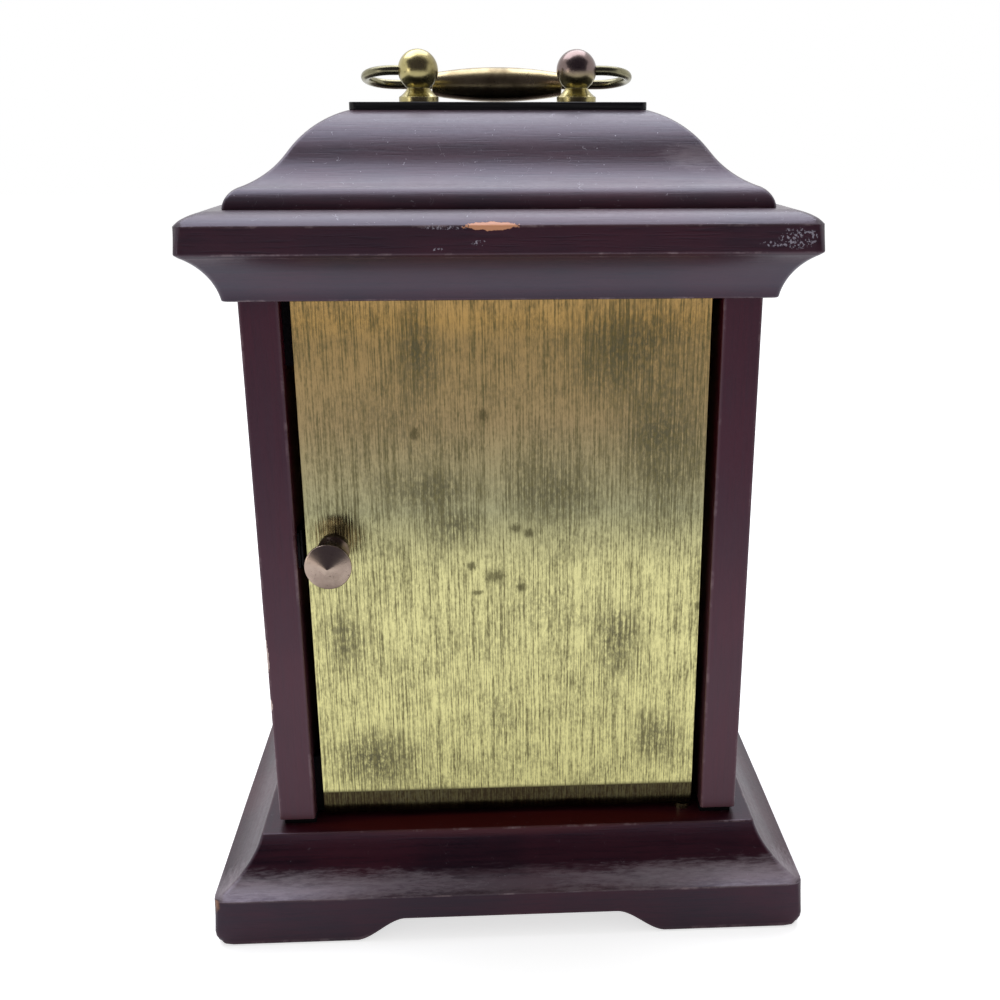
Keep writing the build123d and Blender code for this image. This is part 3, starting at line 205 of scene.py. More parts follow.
def finished(name, mesh, material, sharp=SHARP_EDGE, recalculate=True, broad=math.inf):
    """Turns a mesh into a piece: faces outwards, smooth except at sharp edges and broad faces."""
    work = bmesh.new()
    work.from_mesh(mesh)
    bmesh.ops.remove_doubles(work, verts=work.verts, dist=SAME_POINT)
    if recalculate:
        bmesh.ops.recalc_face_normals(work, faces=work.faces)
    for face in work.faces:
        face.smooth = face.calc_area() < broad
    for edge in work.edges:
        edge.smooth = len(edge.link_faces) != 2 or edge.calc_face_angle(0) < sharp
    work.to_mesh(mesh)
    work.free()
    mesh.materials.clear()
    mesh.materials.append(material)
    made = bpy.data.objects.new(name, mesh)
    bpy.context.collection.objects.link(made)
    return made


def between(low, high, step):
    """Evenly spaced values from low to high, both included."""
    count = max(1, round((high - low) / step))
    return [low + (high - low) * i / count for i in range(count + 1)]


# ---------------------------------------------------------------- patterns and marks

def start_material(name):
    """A new material: the material, its tree, its surface socket and the object's coordinates."""
    mat = bpy.data.materials.new(name)
    mat.use_nodes = True
    tree = mat.node_tree
    tree.nodes.clear()
    surface = add(tree, "ShaderNodeOutputMaterial", out=None).inputs["Surface"]
    place = add(tree, "ShaderNodeTexCoord", out="Object")
    return mat, tree, surface, place


def pattern(tree, place, cells, low=0.3, high=0.7, detail=3.0, rough=0.5, bend=0.0):
    """A soft pattern, from 0 to 1, with cells of so many millimetres, alike or by axis."""
    cells = cells if isinstance(cells, (list, tuple)) else [cells] * 3
    scaled = add(tree, "ShaderNodeMapping", {
        "Vector": place, "Scale": [MM_PER_METRE / c for c in cells]})
    value = add(tree, "ShaderNodeTexNoise", {
        "Vector": scaled, "Scale": 1.0, "Detail": detail, "Roughness": rough, "Distortion": bend})
    return add(tree, "ShaderNodeMapRange", {"Value": value, "From Min": low, "From Max": high})


def laid_over(tree, under, over, *masks):
    """One colour laid over another where all of the masks let it."""
    share = masks[0]
    for mask in masks[1:]:
        share = add(tree, "ShaderNodeMath", {0: share, 1: mask}, operation="MULTIPLY")
    return add(tree, "ShaderNodeMix", {0: share, 6: under, 7: over}, 2, data_type="RGBA")


def summed(tree, *parts):
    """A weighted sum of patterns, each given as its value and its weight."""
    total = 0.0
    for value, weight in parts:
        total = add(tree, "ShaderNodeMath", {0: value, 1: weight, 2: total},
                    operation="MULTIPLY_ADD")
    return total


def marks(tree, place, spots, ragged, outer, inner):
    """Marks, given one by one, that fade from an inner to an outer reach, with ragged outlines."""
    total = 0.0
    for middle, half in spots:
        centred = add(tree, "ShaderNodeMapping", {
            "Vector": place, "Location": [-m / h for m, h in zip(middle, half)],
            "Scale": [MM_PER_METRE / h for h in half]})
        away = add(tree, "ShaderNodeVectorMath", {0: centred}, "Value", operation="LENGTH")
        edge = add(tree, "ShaderNodeMath", {0: away, 1: ragged}, operation="ADD")
        mark = add(tree, "ShaderNodeMapRange", {
            "Value": edge, "From Min": outer, "From Max": inner})
        total = add(tree, "ShaderNodeMath", {0: total, 1: mark}, operation="MAXIMUM")
    return total


# Every mark is a middle and half sizes along X, Y and Z, in millimetres.
# The big chip at the cornice's edge, down to the bare wood
BARE_CHIPS = [((-2.4, -42.6, 157.2), (4.9, 1.4, 0.85))]
# Small pale chips down the arris of the left upright
PALE_CHIPS = [
    ((-53.0, -33.0, 64.6), (0.5, 0.8, 4.3)),
    ((-53.0, -33.0, 53.0), (0.5, 0.8, 1.5)),
]
# Grey rubbing on the cornice, at its right corner and round the chip
RUBBED = [
    ((57.0, -42.6, 154.6), (4.0, 1.0, 1.9)),
    ((52.4, -42.6, 153.6), (3.0, 1.0, 0.6)),
    ((-11.0, -42.7, 156.9), (4.6, 0.9, 0.4)),
    ((-4.4, -42.7, 154.0), (1.6, 0.9, 0.5)),
    ((-12.6, -42.7, 152.9), (1.2, 0.9, 0.35)),
]
# The base's left corner, where the stain is worn through to brown wood
WORN_THROUGH = [((-66.4, -46.4, 10.6), (1.0, 1.0, 1.9))]
# The ledge under the door, which kept its red
SHELTERED = [((0.0, -34.0, 22.3), (46.0, 4.0, 3.0))]
# The ends of the base's slope and one corner of the bell, scuffed grey
SCUFFED = [
    ((-56.0, -45.0, 12.7), (34.0, 9.0, 2.1)),
    ((56.0, -45.0, 12.7), (34.0, 9.0, 2.1)),
    ((39.0, -21.0, 168.6), (6.0, 5.0, 2.6)),
]
# A haze along the whole of that slope, and a painted sheen: a grey-blue strip all round in the
# cavetto of the cornice
HAZED = [((0.0, -45.0, 12.5), (300.0, 9.0, 2.0))]
CAVETTO_SHEEN_STRIP = [((0.0, 0.0, 146.8), (600.0, 600.0, 5.4))]
# The right ball of the handle, where copper shows
BALL_BLUSH = [((17.0, 0.0, 187.6), (5.0, 5.0, 4.6))]

# The brass door's face. Its stains are (x, z, half width, half height) and go right through it
DOOR_FACE = -30.6
DOOR_THROUGH = 9.0
DOOR_CLOUDS = [
    (-17.5, 131.0, 3.5, 8.0), (27.0, 131.0, 9.0, 9.0), (33.0, 113.0, 7.5, 13.0),
    (-16.0, 101.8, 8.5, 3.8), (11.5, 100.2, 8.5, 4.4), (34.0, 104.5, 6.5, 3.2),
    (-10.5, 93.5, 6.0, 3.6), (-31.0, 37.5, 7.5, 5.5), (33.7, 42.0, 4.5, 4.5),
    (-36.0, 67.5, 3.5, 6.0), (24.5, 66.0, 4.0, 6.0),
]
DOOR_SPOTS = [
    (2.0, 92.8, 1.1, 0.9), (5.0, 91.6, 1.0, 0.9), (-2.5, 81.8, 2.1, 1.5),
    (-7.5, 84.3, 0.9, 0.9), (3.2, 79.1, 1.1, 0.8), (-6.3, 78.0, 1.3, 0.6),
    (-4.5, 117.9, 1.1, 1.4), (-19.0, 114.0, 0.8, 1.3), (42.9, 73.8, 0.9, 0.9),
]
# The sheet's tint from its bottom edge, 0, to its top edge, 1, is painted reflection: the dark
# mirror image of the ledge at its foot, the bright floor in yellow to half its height, and a duller
# tan above
DOOR_PAINTED_REFLECTIONS = [
    (0.0, "#352b1e"), (0.043, "#352b1e"), (0.049, "#e2dc98"), (0.50, "#dcd698"), (0.62, "#a6a27c"),
    (0.78, "#9f8a64"), (0.93, "#a98c5c"), (0.965, "#bf9a5e"), (1.0, "#c8a266")]


def on_door(stains):
    """The door's stains as middles and half sizes."""
    return [((x, DOOR_FACE, z), (half_wide, DOOR_THROUGH, half_high))
            for x, z, half_wide, half_high in stains]


# ---------------------------------------------------------------- materials

def surfaced(mat, tree, surface, relief, strength, depth, look):
    """Ends a material with its relief, as deep as so many millimetres, and its look."""
    bumps = add(tree, "ShaderNodeBump", {
        "Height": relief, "Strength": strength, "Distance": depth * MM}, "Normal")
    shader = add(tree, "ShaderNodeBsdfPrincipled", {"Normal": bumps, **look})
    tree.links.new(shader, surface)
    return mat


def lacquered_mahogany(name, grain):
    """Stained mahogany under old satin lacquer: nearly black purple-red, with a cool sheen."""
    mat, tree, surface, place = start_material(name)
    # Pores are about 0.5 mm apart and run on for 9 mm, the figure for 40 mm
    figure_cells, pore_cells = [1.6] * 3, [0.42] * 3
    figure_cells[grain], pore_cells[grain] = 42.0, 9.0
    figure = pattern(tree, place, figure_cells, 0.32, 0.68, 4.0, 0.6, 0.4)
    pores = pattern(tree, place, pore_cells, 0.52, 0.66, 2.0, 0.6)
    clouds = pattern(tree, place, 24, 0.42, 0.66, 2.0)
    fine = pattern(tree, place, 0.9, 0.3, 0.7, 2.0, 0.6)
    colour = laid_over(tree, srgb("#200710"), srgb("#320a14"), figure)
    colour = laid_over(tree, colour, srgb("#43101a"), clouds, 0.55)
    colour = laid_over(tree, colour, srgb("#0e0307"), pores, 0.35)

    sheltered = marks(tree, place, SHELTERED, 0.0, 1.1, 0.8)
    colour = laid_over(tree, colour, srgb("#4e1712"), sheltered, 0.8)

    # Arrises are rubbed pinkish, in broken lines
    worn = add(tree, "ShaderNodeAttribute", out="Fac", attribute_name="worn")
    broken = pattern(tree, place, 7, 0.53, 0.66, 4.0, 0.7)
    rubbing = summed(tree, (broken, 0.36), (1.0, 0.07))
    colour = laid_over(tree, colour, srgb("#b09a9c"), worn, rubbing)

    # Dust specks and short curved lint lie on what faces up, most of all at the top
    normal = add(tree, "ShaderNodeNewGeometry", out="Normal")
    level = add(tree, "ShaderNodeSeparateXYZ", {"Vector": normal}, "Z")
    upward = add(tree, "ShaderNodeMapRange", {"Value": level, "From Min": 0.1, "From Max": 0.7})
    specks = pattern(tree, place, 0.6, 0.765, 0.80, 1.0)
    curls = pattern(tree, place, 3.2, 0.0, 1.0, 0.5, 0.5, 2.2)
    thread = add(tree, "ShaderNodeMath", {0: curls, 1: 0.5, 2: 0.009}, operation="COMPARE")
    tufts = pattern(tree, place, 2.2, 0.64, 0.70, 1.0)
    height = add(tree, "ShaderNodeSeparateXYZ", {"Vector": place}, "Z")
    dusty = add(tree, "ShaderNodeMapRange", {
        "Value": height, "From Min": 0.02, "From Max": 0.15, "To Min": 0.12, "To Max": 0.5})
    colour = laid_over(tree, colour, srgb("#c9c6cf"), upward, specks, dusty)
    colour = laid_over(tree, colour, srgb("#c9c6cf"), upward, thread, tufts, dusty, 0.7)
    # Dust and a painted sheen: a grey-blue film on what faces up near the top, on the cornice and
    # bell
    upper_dust_and_sheen = add(tree, "ShaderNodeMapRange", {"Value": height, "From Min": 0.11, "From Max": 0.15})
    colour = laid_over(tree, colour, srgb("#b9b8c8"), upward, upper_dust_and_sheen, 0.085)

    # Scuffs, haze and the cavetto's painted sheen. Scuffs are drawn in scratches 0.35 mm apart
    # along the rail
    streaks = pattern(tree, place, [10, 10, 1.2], 0.25, 0.75, 3.0, 0.6)
    scratched = pattern(tree, place, [3.2, 3.2, 0.35], 0.38, 0.62, 3.0, 0.7)
    streaks = summed(tree, (streaks, 0.55), (scratched, 0.45))
    scuffed = marks(tree, place, SCUFFED, streaks, 1.9, 0.6)
    hazed = marks(tree, place, HAZED, streaks, 1.8, 0.8)
    painted_cavetto_sheen = marks(tree, place, CAVETTO_SHEEN_STRIP, 0.0, 1.0, 0.3)
    colour = laid_over(tree, colour, srgb("#cfc0ca"), upward, hazed, 0.12)
    colour = laid_over(tree, colour, srgb("#cfc4cb"), upward, scuffed, 0.27)
    # Painted sheen: the cavetto lightened grey-blue all round, a painted reflection of the floor
    colour = laid_over(tree, colour, srgb("#bcbccd"), painted_cavetto_sheen, 0.12)
    if grain == UPRIGHT:
        # The uprights are redder, and lighter towards their feet: a painted reflection of the
        # bright floor
        colour = laid_over(tree, colour, srgb("#6a1424"), 0.2)
        floor_glow_toward_feet = add(tree, "ShaderNodeMapRange", {
            "Value": height, "From Min": 0.11, "From Max": 0.055, "To Max": 0.11})
        colour = laid_over(tree, colour, srgb("#b08c90"), floor_glow_toward_feet)

    # Rubbed places are a net of scratches. Chips have hard, ragged outlines
    ragged = summed(tree, (pattern(tree, place, 1.7, 0.2, 0.8, 4.0, 0.7), 0.9))
    rubbed = marks(tree, place, RUBBED, ragged, 1.5, 1.3)
    scratches = pattern(tree, place, 0.6, 0.52, 0.60, 2.0, 0.6)
    colour = laid_over(tree, colour, srgb("#a8a3b0"), rubbed, scratches, 0.75)
    worn_through = marks(tree, place, WORN_THROUGH, ragged, 1.7, 1.1)
    colour = laid_over(tree, colour, srgb("#8a5c36"), worn_through)
    bare = marks(tree, place, BARE_CHIPS, ragged, 1.45, 1.38)
    colour = laid_over(tree, colour, srgb("#dc9c74"), bare)
    pale = marks(tree, place, PALE_CHIPS, ragged, 1.5, 1.4)
    colour = laid_over(tree, colour, srgb("#dcc6bc"), pale)

    relief = summed(tree, (figure, 0.35), (pores, -0.45), (fine, 0.25), (bare, -2.0))
    satin = add(tree, "ShaderNodeMapRange", {
        "Value": summed(tree, (fine, 0.5), (figure, 0.5)), "To Min": 0.28, "To Max": 0.42})
    return surfaced(mat, tree, surface, relief, 0.3, 0.06, {
        "Base Color": colour, "Roughness": satin, "IOR": 1.5, "Specular Tint": srgb("#e6e0ff")})


def timber(name, light, dark, grain, gloss):
    """Plain timber: straight grain lines 0.9 mm apart, with little shine."""
    mat, tree, surface, place = start_material(name)
    cells = [0.9] * 3
    cells[grain] = 40.0
    streaks = pattern(tree, place, cells, 0.3, 0.66, 5.0, 0.6, 0.5)
    colour = laid_over(tree, srgb(dark), srgb(light), streaks)
    return surfaced(mat, tree, surface, streaks, 0.4, 0.1, {
        "Base Color": colour, "Roughness": gloss, "Specular IOR Level": 0.25})


def metal(name, clean, dull, gloss, spots=0.5, lines=0.8, blush=()):
    """Bare metal with a film of tarnish in soft clouds, small dark spots and fine tool lines."""
    mat, tree, surface, place = start_material(name)
    clouds = pattern(tree, place, 9, 0.42, 0.66, 4.0, 0.6)
    pits = pattern(tree, place, 0.8, 0.66, 0.72, 2.0)
    tooled = pattern(tree, place, lines, 0.3, 0.7, 3.0, 0.6)
    colour = laid_over(tree, srgb(clean), srgb(dull), clouds)
    if blush:
        # Copper comes out pink where the brass was handled most
        pink = marks(tree, place, blush, 0.0, 1.1, 0.9)
        colour = laid_over(tree, colour, srgb("#7c6c69"), pink)
    colour = laid_over(tree, colour, srgb("#3a2f22"), pits, spots)
    haze = add(tree, "ShaderNodeMapRange", {
        "Value": clouds, "To Min": gloss, "To Max": gloss + 0.1})
    return surfaced(mat, tree, surface, tooled, 0.25, 0.02, {
        "Base Color": colour, "Metallic": 1.0, "Roughness": haze})


def brushed_door_brass():
    """Brass sheet brushed upright, its lacquer gone: dull, and stained along the scratches, under
    painted reflections from its foot to its top.
    """
    mat, tree, surface, place = start_material("door_brushed_brass_sheet")
    # Real brush scratches are 0.1 mm apart. These are 0.4 mm, the finest that shows
    long_lines = pattern(tree, place, [0.38, 6, 30], 0.34, 0.66, 2.0, 0.6)
    short_lines = pattern(tree, place, [0.40, 6, 4.5], 0.34, 0.66, 2.0, 0.6)
    grit = pattern(tree, place, [0.5, 6, 1.1], 0.34, 0.66, 2.0, 0.6)
    mottle = pattern(tree, place, [0.8, 6, 1.5], 0.40, 0.58, 3.0, 0.7)
    broad = pattern(tree, place, [17, 17, 11], 0.36, 0.66, 4.0, 0.62)
    small = pattern(tree, place, [4.5, 4.5, 5.5], 0.36, 0.66, 3.0, 0.6)

    # The painted reflections run from the sheet's bottom edge at 24 mm to its top edge at 141.7 mm
    height = add(tree, "ShaderNodeSeparateXYZ", {"Vector": place}, "Z")
    rise = add(tree, "ShaderNodeMapRange", {"Value": height, "From Min": 0.024, "From Max": 0.1417})
    painted_reflections = add(tree, "ShaderNodeValToRGB", {"Fac": rise}, None)
    reflection_ramp = painted_reflections.color_ramp
    for share, code in DOOR_PAINTED_REFLECTIONS[1:-1]:
        reflection_ramp.elements.new(share).color = srgb(code)
    reflection_ramp.elements[0].color = srgb(DOOR_PAINTED_REFLECTIONS[0][1])
    reflection_ramp.elements[-1].color = srgb(DOOR_PAINTED_REFLECTIONS[-1][1])

    # Tarnish stays in the scratches, more of it in the clouds
    ragged = summed(tree, (small, 0.5), (grit, 0.35))
    clouds = marks(tree, place, on_door(DOOR_CLOUDS), ragged, 2.1, 0.7)
    speckled = summed(tree, (small, 0.4), (grit, 0.9))
    spots = marks(tree, place, on_door(DOOR_SPOTS), speckled, 2.0, 1.2)
    stained = summed(tree, (broad, 0.34), (small, 0.2), (clouds, 0.62))
    depth = summed(tree, (long_lines, 0.46), (short_lines, 0.32), (grit, 0.22), (stained, 0.30))
    scratch = add(tree, "ShaderNodeMapRange", {"Value": depth, "From Min": 0.42, "From Max": 0.88})
    colour = laid_over(tree, painted_reflections.outputs["Color"], srgb("#5c5638"), scratch, 0.85)
    colour = laid_over(tree, colour, srgb("#5c5844"), stained, mottle, 0.8)
    colour = laid_over(tree, colour, srgb("#48432c"), spots, 0.75)
    relief = summed(tree, (long_lines, 0.7), (short_lines, 0.3))
    haze = add(tree, "ShaderNodeMapRange", {"Value": stained, "To Min": 0.12, "To Max": 0.24})
    return surfaced(mat, tree, surface, relief, 0.5, 0.06, {
        "Base Color": colour, "Metallic": 1.0, "Roughness": haze})


def clear_glass():
    """Thin window glass, faintly green, with slight smears."""
    mat, tree, surface, place = start_material("window_glass")
    smears = pattern(tree, place, 12, 0.4, 0.7, 2.0)
    haze = add(tree, "ShaderNodeMath", {0: smears, 1: 0.04}, operation="MULTIPLY")
    shader = add(tree, "ShaderNodeBsdfPrincipled", {
        "Base Color": srgb("#f4fbf8"), "Roughness": haze, "IOR": 1.5, "Transmission Weight": 1.0})
    tree.links.new(shader, surface)
    return mat


def painted_face(name, colour_code, shade_code, gloss):
    """Baked paint on the dial, smooth, with a fine orange peel and a little uneven in tone."""
    mat, tree, surface, place = start_material(name)
    clouds = pattern(tree, place, 14, 0.4, 0.7)
    peel = pattern(tree, place, 0.6, 0.0, 1.0, 2.0)
    colour = laid_over(tree, srgb(colour_code), srgb(shade_code), clouds)
    return surfaced(mat, tree, surface, peel, 0.15, 0.03, {
        "Base Color": colour, "Roughness": gloss})


# The case: one dark purple-red, its grain running along each rail, end rail and upright
mahogany_x = lacquered_mahogany("mahogany_lacquer_grain_across", ACROSS)
mahogany_y = lacquered_mahogany("mahogany_lacquer_grain_deep", DEEP)
mahogany_z = lacquered_mahogany("mahogany_lacquer_grain_upright", UPRIGHT)
# The cap: blue-black, closed by polish, so that its edge catches one clean light
ebonised = timber("ebonised_wood", "#121015", "#070609", ACROSS, 0.3)
# The floor under the stiles and the door stops: painted near black and dull, a painted shadow, so
# that the floor reads as a shadow gap
shadow_black_pine = timber("pine_painted_shadow_black", "#08040a", "#040205", ACROSS, 0.9)
# The battens, pinkish brown, and the hidden softwood, yellow: both dry, with plain lines
beech = timber("unpolished_beech", "#b98f63", "#8c6540", UPRIGHT, 0.7)
pine = timber("unpolished_pine", "#c9a676", "#9c7648", ACROSS, 0.75)
# The door: a yellow sheet that scatters light sideways, grey-green where it is stained, its tint
# painted with reflections from foot to top
door_brass = brushed_door_brass()
# Ball posts and hinge pins: greenish yellow, soft mirrors, one ball gone pink
turned_brass = metal("turned_brass_aged", "#b5aa78", "#857a54", 0.24, blush=BALL_BLUSH)
# The knob: the pinkish grey of brass that has lost its zinc
pink_brass = metal("knob_brass_tarnished_pink", "#b3a092", "#857369", 0.25)
# The bail's wire: olive and drawn smooth, so that no tool lines break its long highlight
loop_brass = metal("loop_wire_brass_dull", "#8a856a", "#5c5a48", 0.24, lines=5)
# The grip: browner than the wire, with a broad satin light along it
bronze = metal("bronzed_brass_grip", "#a69876", "#74674e", 0.27)
# The plates are grained in level lines 0.4 mm apart, and the wheels are bright and clean
plate_brass = metal("movement_plate_brass", "#c8a862", "#b3924e", 0.28, 0.2, (12, 12, 0.4))
wheel_brass = metal("wheel_brass", "#d6b76a", "#b89650", 0.22, 0.1)
# Screws and arbors are white steel, the hands deep blue, and the door's catch black and dull
steel = metal("polished_steel", "#b4b4b8", "#8e8e94", 0.2, 0.2)
blued = metal("blued_steel", "#1c2c5c", "#131c3c", 0.18, 0.0)
blackened = metal("blackened_spring_steel", "#232224", "#161517", 0.4, 0.0)
# Round the dial: a polished frame, a plate grained level, a cream ring and black figures
sight_brass = metal("sight_frame_brass", "#d4b15c", "#b48f45", 0.16, 0.3)
dial_brass = metal("dial_brass_brushed", "#cfae66", "#b8964f", 0.32, 0.1, (20, 20, 0.3))
enamel = painted_face("chapter_ring_enamel", "#e9e4d3", "#ded7c2", 0.3)
ink = painted_face("dial_black_paint", "#15130f", "#201c16", 0.4)
glass = clear_glass()


# ---------------------------------------------------------------- mouldings

# How far each frame stands out from the body, and how far it reaches in over it
BASE_FACE = 13.9
BASE_FACE_TOP = 11.2
CORNICE_FACE = 9.65
CORNICE_FACE_TOP = 157.2
RAIL_INSIDE = -8.1
# The foot's inner side, and the rebate for the base board
FOOT_INSIDE = 3.9
REBATE_LEVEL = 12.3

base_section = eased_section([
    (FOOT_INSIDE, 0.0, 0.3),
    (BASE_FACE, 0.0, 0.45),
    (BASE_FACE, 1.2, 0),
    (BASE_FACE, 2.2, 0),
    (BASE_FACE, 3.6, 0),
    (BASE_FACE, BASE_FACE_TOP, 0.5),
    (11.09, 12.49, 8.5975, 14.308, 0),
    (5.599, 17.944, 3.8, BASE_TOP, 0.45),
    (RAIL_INSIDE, BASE_TOP, 0),
    (RAIL_INSIDE, REBATE_LEVEL, 0),
    (FOOT_INSIDE, REBATE_LEVEL, 0),
])
cornice_section = eased_section([
    (RAIL_INSIDE, BODY_TOP, 0),
    (2.7, BODY_TOP, 0.35),
    (4.932, 147.7, 8.9, 151.3, 0.15),
    (CORNICE_FACE, 151.9, 0.35),
    (CORNICE_FACE, CORNICE_FACE_TOP, 0.5),
    (6.897, 158.9, 3.6, CORNICE_TOP, 0.3),
    (RAIL_INSIDE, CORNICE_TOP, 0),
])

# The bell's foot, its run inwards and its rise
BELL_FOOT = 1.4
BELL_RUN = 23.2
BELL_RISE = 18.4
BELL_INSIDE = -24.0


def bell_at(run_share, rise_share):
    """A point of the bell's section, as shares of its run and of its rise."""
    return (BELL_FOOT - run_share * BELL_RUN, CORNICE_TOP + rise_share * BELL_RISE)


bell_section = eased_section([
    (BELL_INSIDE, CORNICE_TOP, 0),
    (BELL_FOOT, CORNICE_TOP, 0.2),
    bell_at(0.035, 0.125) + bell_at(0.145, 0.225) + (0.5,),
    bell_at(0.332, 0.350) + bell_at(0.484, 0.536) + (0,),
    bell_at(0.526, 0.604) + (0,),
    bell_at(0.738, 0.851) + (BELL_FOOT - BELL_RUN, BELL_TOP, 0.3),
    (BELL_INSIDE, BELL_TOP, 0),
])

# The bracket feet reach 0.67 of the base's half depth, and the arch rises over 0.74 of the rest
FOOT = 0.67 * (HALF_DEPTH + BASE_FACE)
SIDE_SPAN = HALF_DEPTH + BASE_FACE - FOOT
LONG_SPAN = HALF_WIDTH + BASE_FACE - FOOT
ARCH_RUN = 0.74 * SIDE_SPAN
ARCH_HEIGHT = 5.5

# Where a rail is sliced on its way out to the mitre, as shares of the way
END_SLICES = (0.985, 0.97, 0.9, 0.75, 0.5, 0.25, 0.1)
CORNER_FACETS = 4

# How far round a corner its knocks reach, and how deep they go as a share of that
KNOCK_REACH = 3.4
KNOCK_SHARE = 0.5


def arch_lift(span):
    """Raises the lower edge of a base rail into its arch between the feet."""
    def lift(along, up):
        inside = (span - abs(along)) / ARCH_RUN
        share = max(0.0, min(1.0, inside))
        rise = ARCH_HEIGHT * share * share * (3 - 2 * share)
        return rise + up * (BASE_FACE_TOP - rise) / BASE_FACE_TOP if up < BASE_FACE_TOP else up
    return lift


def base_stations(span):
    """Places along a base rail, close together where the arch rises and falls."""
    inner = between(0, span - ARCH_RUN, 2.0)[1:]
    rise = between(span - ARCH_RUN, span, 0.45)[1:]
    half = inner + rise + [span + 0.4, span + 1.2]
    return [-s for s in reversed(half)] + [0.0] + half


def rail_rings(section, half_length, half_across, inner_stations, corner_round, lift):
    """Rings of a mitred rail along X at the back, from its left mitre to its right one."""
    reach = inner_stations[-1]
    slices = [("turn", 45.0 - 45.0 * i / CORNER_FACETS) for i in range(CORNER_FACETS + 1)]
    slices += [("run", share) for share in END_SLICES]
    left = [(-1, kind, value) for kind, value in slices]
    middle = [(1, "at", station) for station in inner_stations]
    right = [(1, kind, value) for kind, value in reversed(slices)]
    rings = []
    for side, kind, value in left + middle + right:
        ring = []
        for out, up in section:
            across = half_across + out
            if kind == "at":
                along = value
            elif kind == "run":
                along = reach + value * (half_length + out - corner_round - reach)
            else:
                turn = math.radians(value)
                along = half_length + out - corner_round + corner_round * math.sin(turn)
                across -= corner_round * (1 - math.cos(turn))
            level = lift(value, up) if lift and kind == "at" else up
            ring.append((side * along, -across, level))
        rings.append(ring)
    return rings


def turned_about(rings, degrees):
    """Rings turned about the Z axis."""
    c, s = math.cos(math.radians(degrees)), math.sin(math.radians(degrees))
    return [[(x * c - y * s, x * s + y * c, z) for x, y, z in ring] for ring in rings]


def blunted(points, out, level):
    """Pulls in what lies near a frame's corners, as years of knocks do."""
    soft = []
    for x, y, z in points:
        across = (HALF_WIDTH + out - abs(x), HALF_DEPTH + out - abs(y), level - z)
        near = max(0.0, 1 - math.hypot(*across) / KNOCK_REACH)
        pull = KNOCK_SHARE * near * near * KNOCK_REACH
        if level == 0:
            drop = -pull * 0.5
        else:
            drop = pull * 0.5 if z >= level else -min(pull * 0.5, level - z)
        soft.append((x - math.copysign(pull, x) * 0.6, y - math.copysign(pull, y) * 0.6, z - drop))
    return soft


def moulding(name, section, stations_long, stations_end, lifts, corner_round, knocked):
    """Makes the two pieces of a mitred frame: its long rails and its end rails."""
    outline, worn = section
    for kind, half_length, half_across, stations, turns, lift, mat in (
            ("long", HALF_WIDTH, HALF_DEPTH, stations_long, (0, 180), lifts[0], mahogany_x),
            ("end", HALF_DEPTH, HALF_WIDTH, stations_end, (90, 270), lifts[1], mahogany_y)):
        surface = Surface()
        rings = rail_rings(outline, half_length, half_across, stations, corner_round, lift)
        for turn in turns:
            surface.loft(turned_about(rings, turn), worn)
        for out, level in knocked:
            surface.points = blunted(surface.points, out, level)
        made = surface.piece(f"{name}_{kind}_rails_lacquered", mat)
        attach(made, "case")
        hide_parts(f"{name}_{kind}_rails")


moulding("base", base_section, base_stations(LONG_SPAN), base_stations(SIDE_SPAN),
         (arch_lift(LONG_SPAN), arch_lift(SIDE_SPAN)), 0.9,
         [(BASE_FACE, BASE_FACE_TOP), (BASE_FACE, 0.0)])
moulding("cornice", cornice_section, between(-24, 24, 0.5), between(-8, 8, 1.0),
         (None, None), 1.3, [(CORNICE_FACE, CORNICE_FACE_TOP)])
moulding("bell", bell_section, between(-8, 8, 2.0), between(-8, 8, 2.0),
         (None, None), 0.8, [])


# ---------------------------------------------------------------- case boards

STILE = 14.0
END_EASE = 0.15
END_MARGIN = 0.5


def board(surface, lows, highs, along, rounding, step):
    """Adds a board with eased long arrises, lofted along one axis."""
    a, b = [k for k in range(3) if k != along]
    outline, worn = eased_section([
        (lows[a], lows[b], rounding), (highs[a], lows[b], rounding),
        (highs[a], highs[b], rounding), (lows[a], highs[b], rounding)])
    first, last = lows[along], highs[along]
    stations = [(first, END_EASE), (first + END_EASE, 0.0)]
    stations += [(s, 0.0) for s in between(first + END_MARGIN, last - END_MARGIN, step)]
    stations += [(last - END_EASE, 0.0), (last, END_EASE)]
    mid = ((lows[a] + highs[a]) / 2, (lows[b] + highs[b]) / 2)
    rings = []
    for place, inset in stations:
        ring = []
        for u, v in outline:
            point = [0.0, 0.0, 0.0]
            point[a] = u - math.copysign(min(inset, abs(u - mid[0])), u - mid[0])
            point[b] = v - math.copysign(min(inset, abs(v - mid[1])), v - mid[1])
            point[along] = place
            ring.append(tuple(point))
        rings.append(ring)
    surface.loft(rings, worn)


def boards(name, boxes, along, rounding, material, node, step=2.0):
    """A piece of one or more eased boards that stands for a CAD node."""
    surface = Surface()
    for lows, highs in boxes:
        board(surface, lows, highs, along, rounding, step)
    made = surface.piece(name, material)
    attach(made, "case")
    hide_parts(node)


def node_box(node):
    """A CAD node's box in millimetres, as lows and highs by axis."""
    low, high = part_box(node)
    return [c / MM for c in low], [c / MM for c in high]


for side in ("left", "right"):
    boards("side_panel_" + side + "_lacquered", [node_box("side_panel_" + side)], UPRIGHT, 0.55,
           mahogany_z, "side_panel_" + side, 0.8)

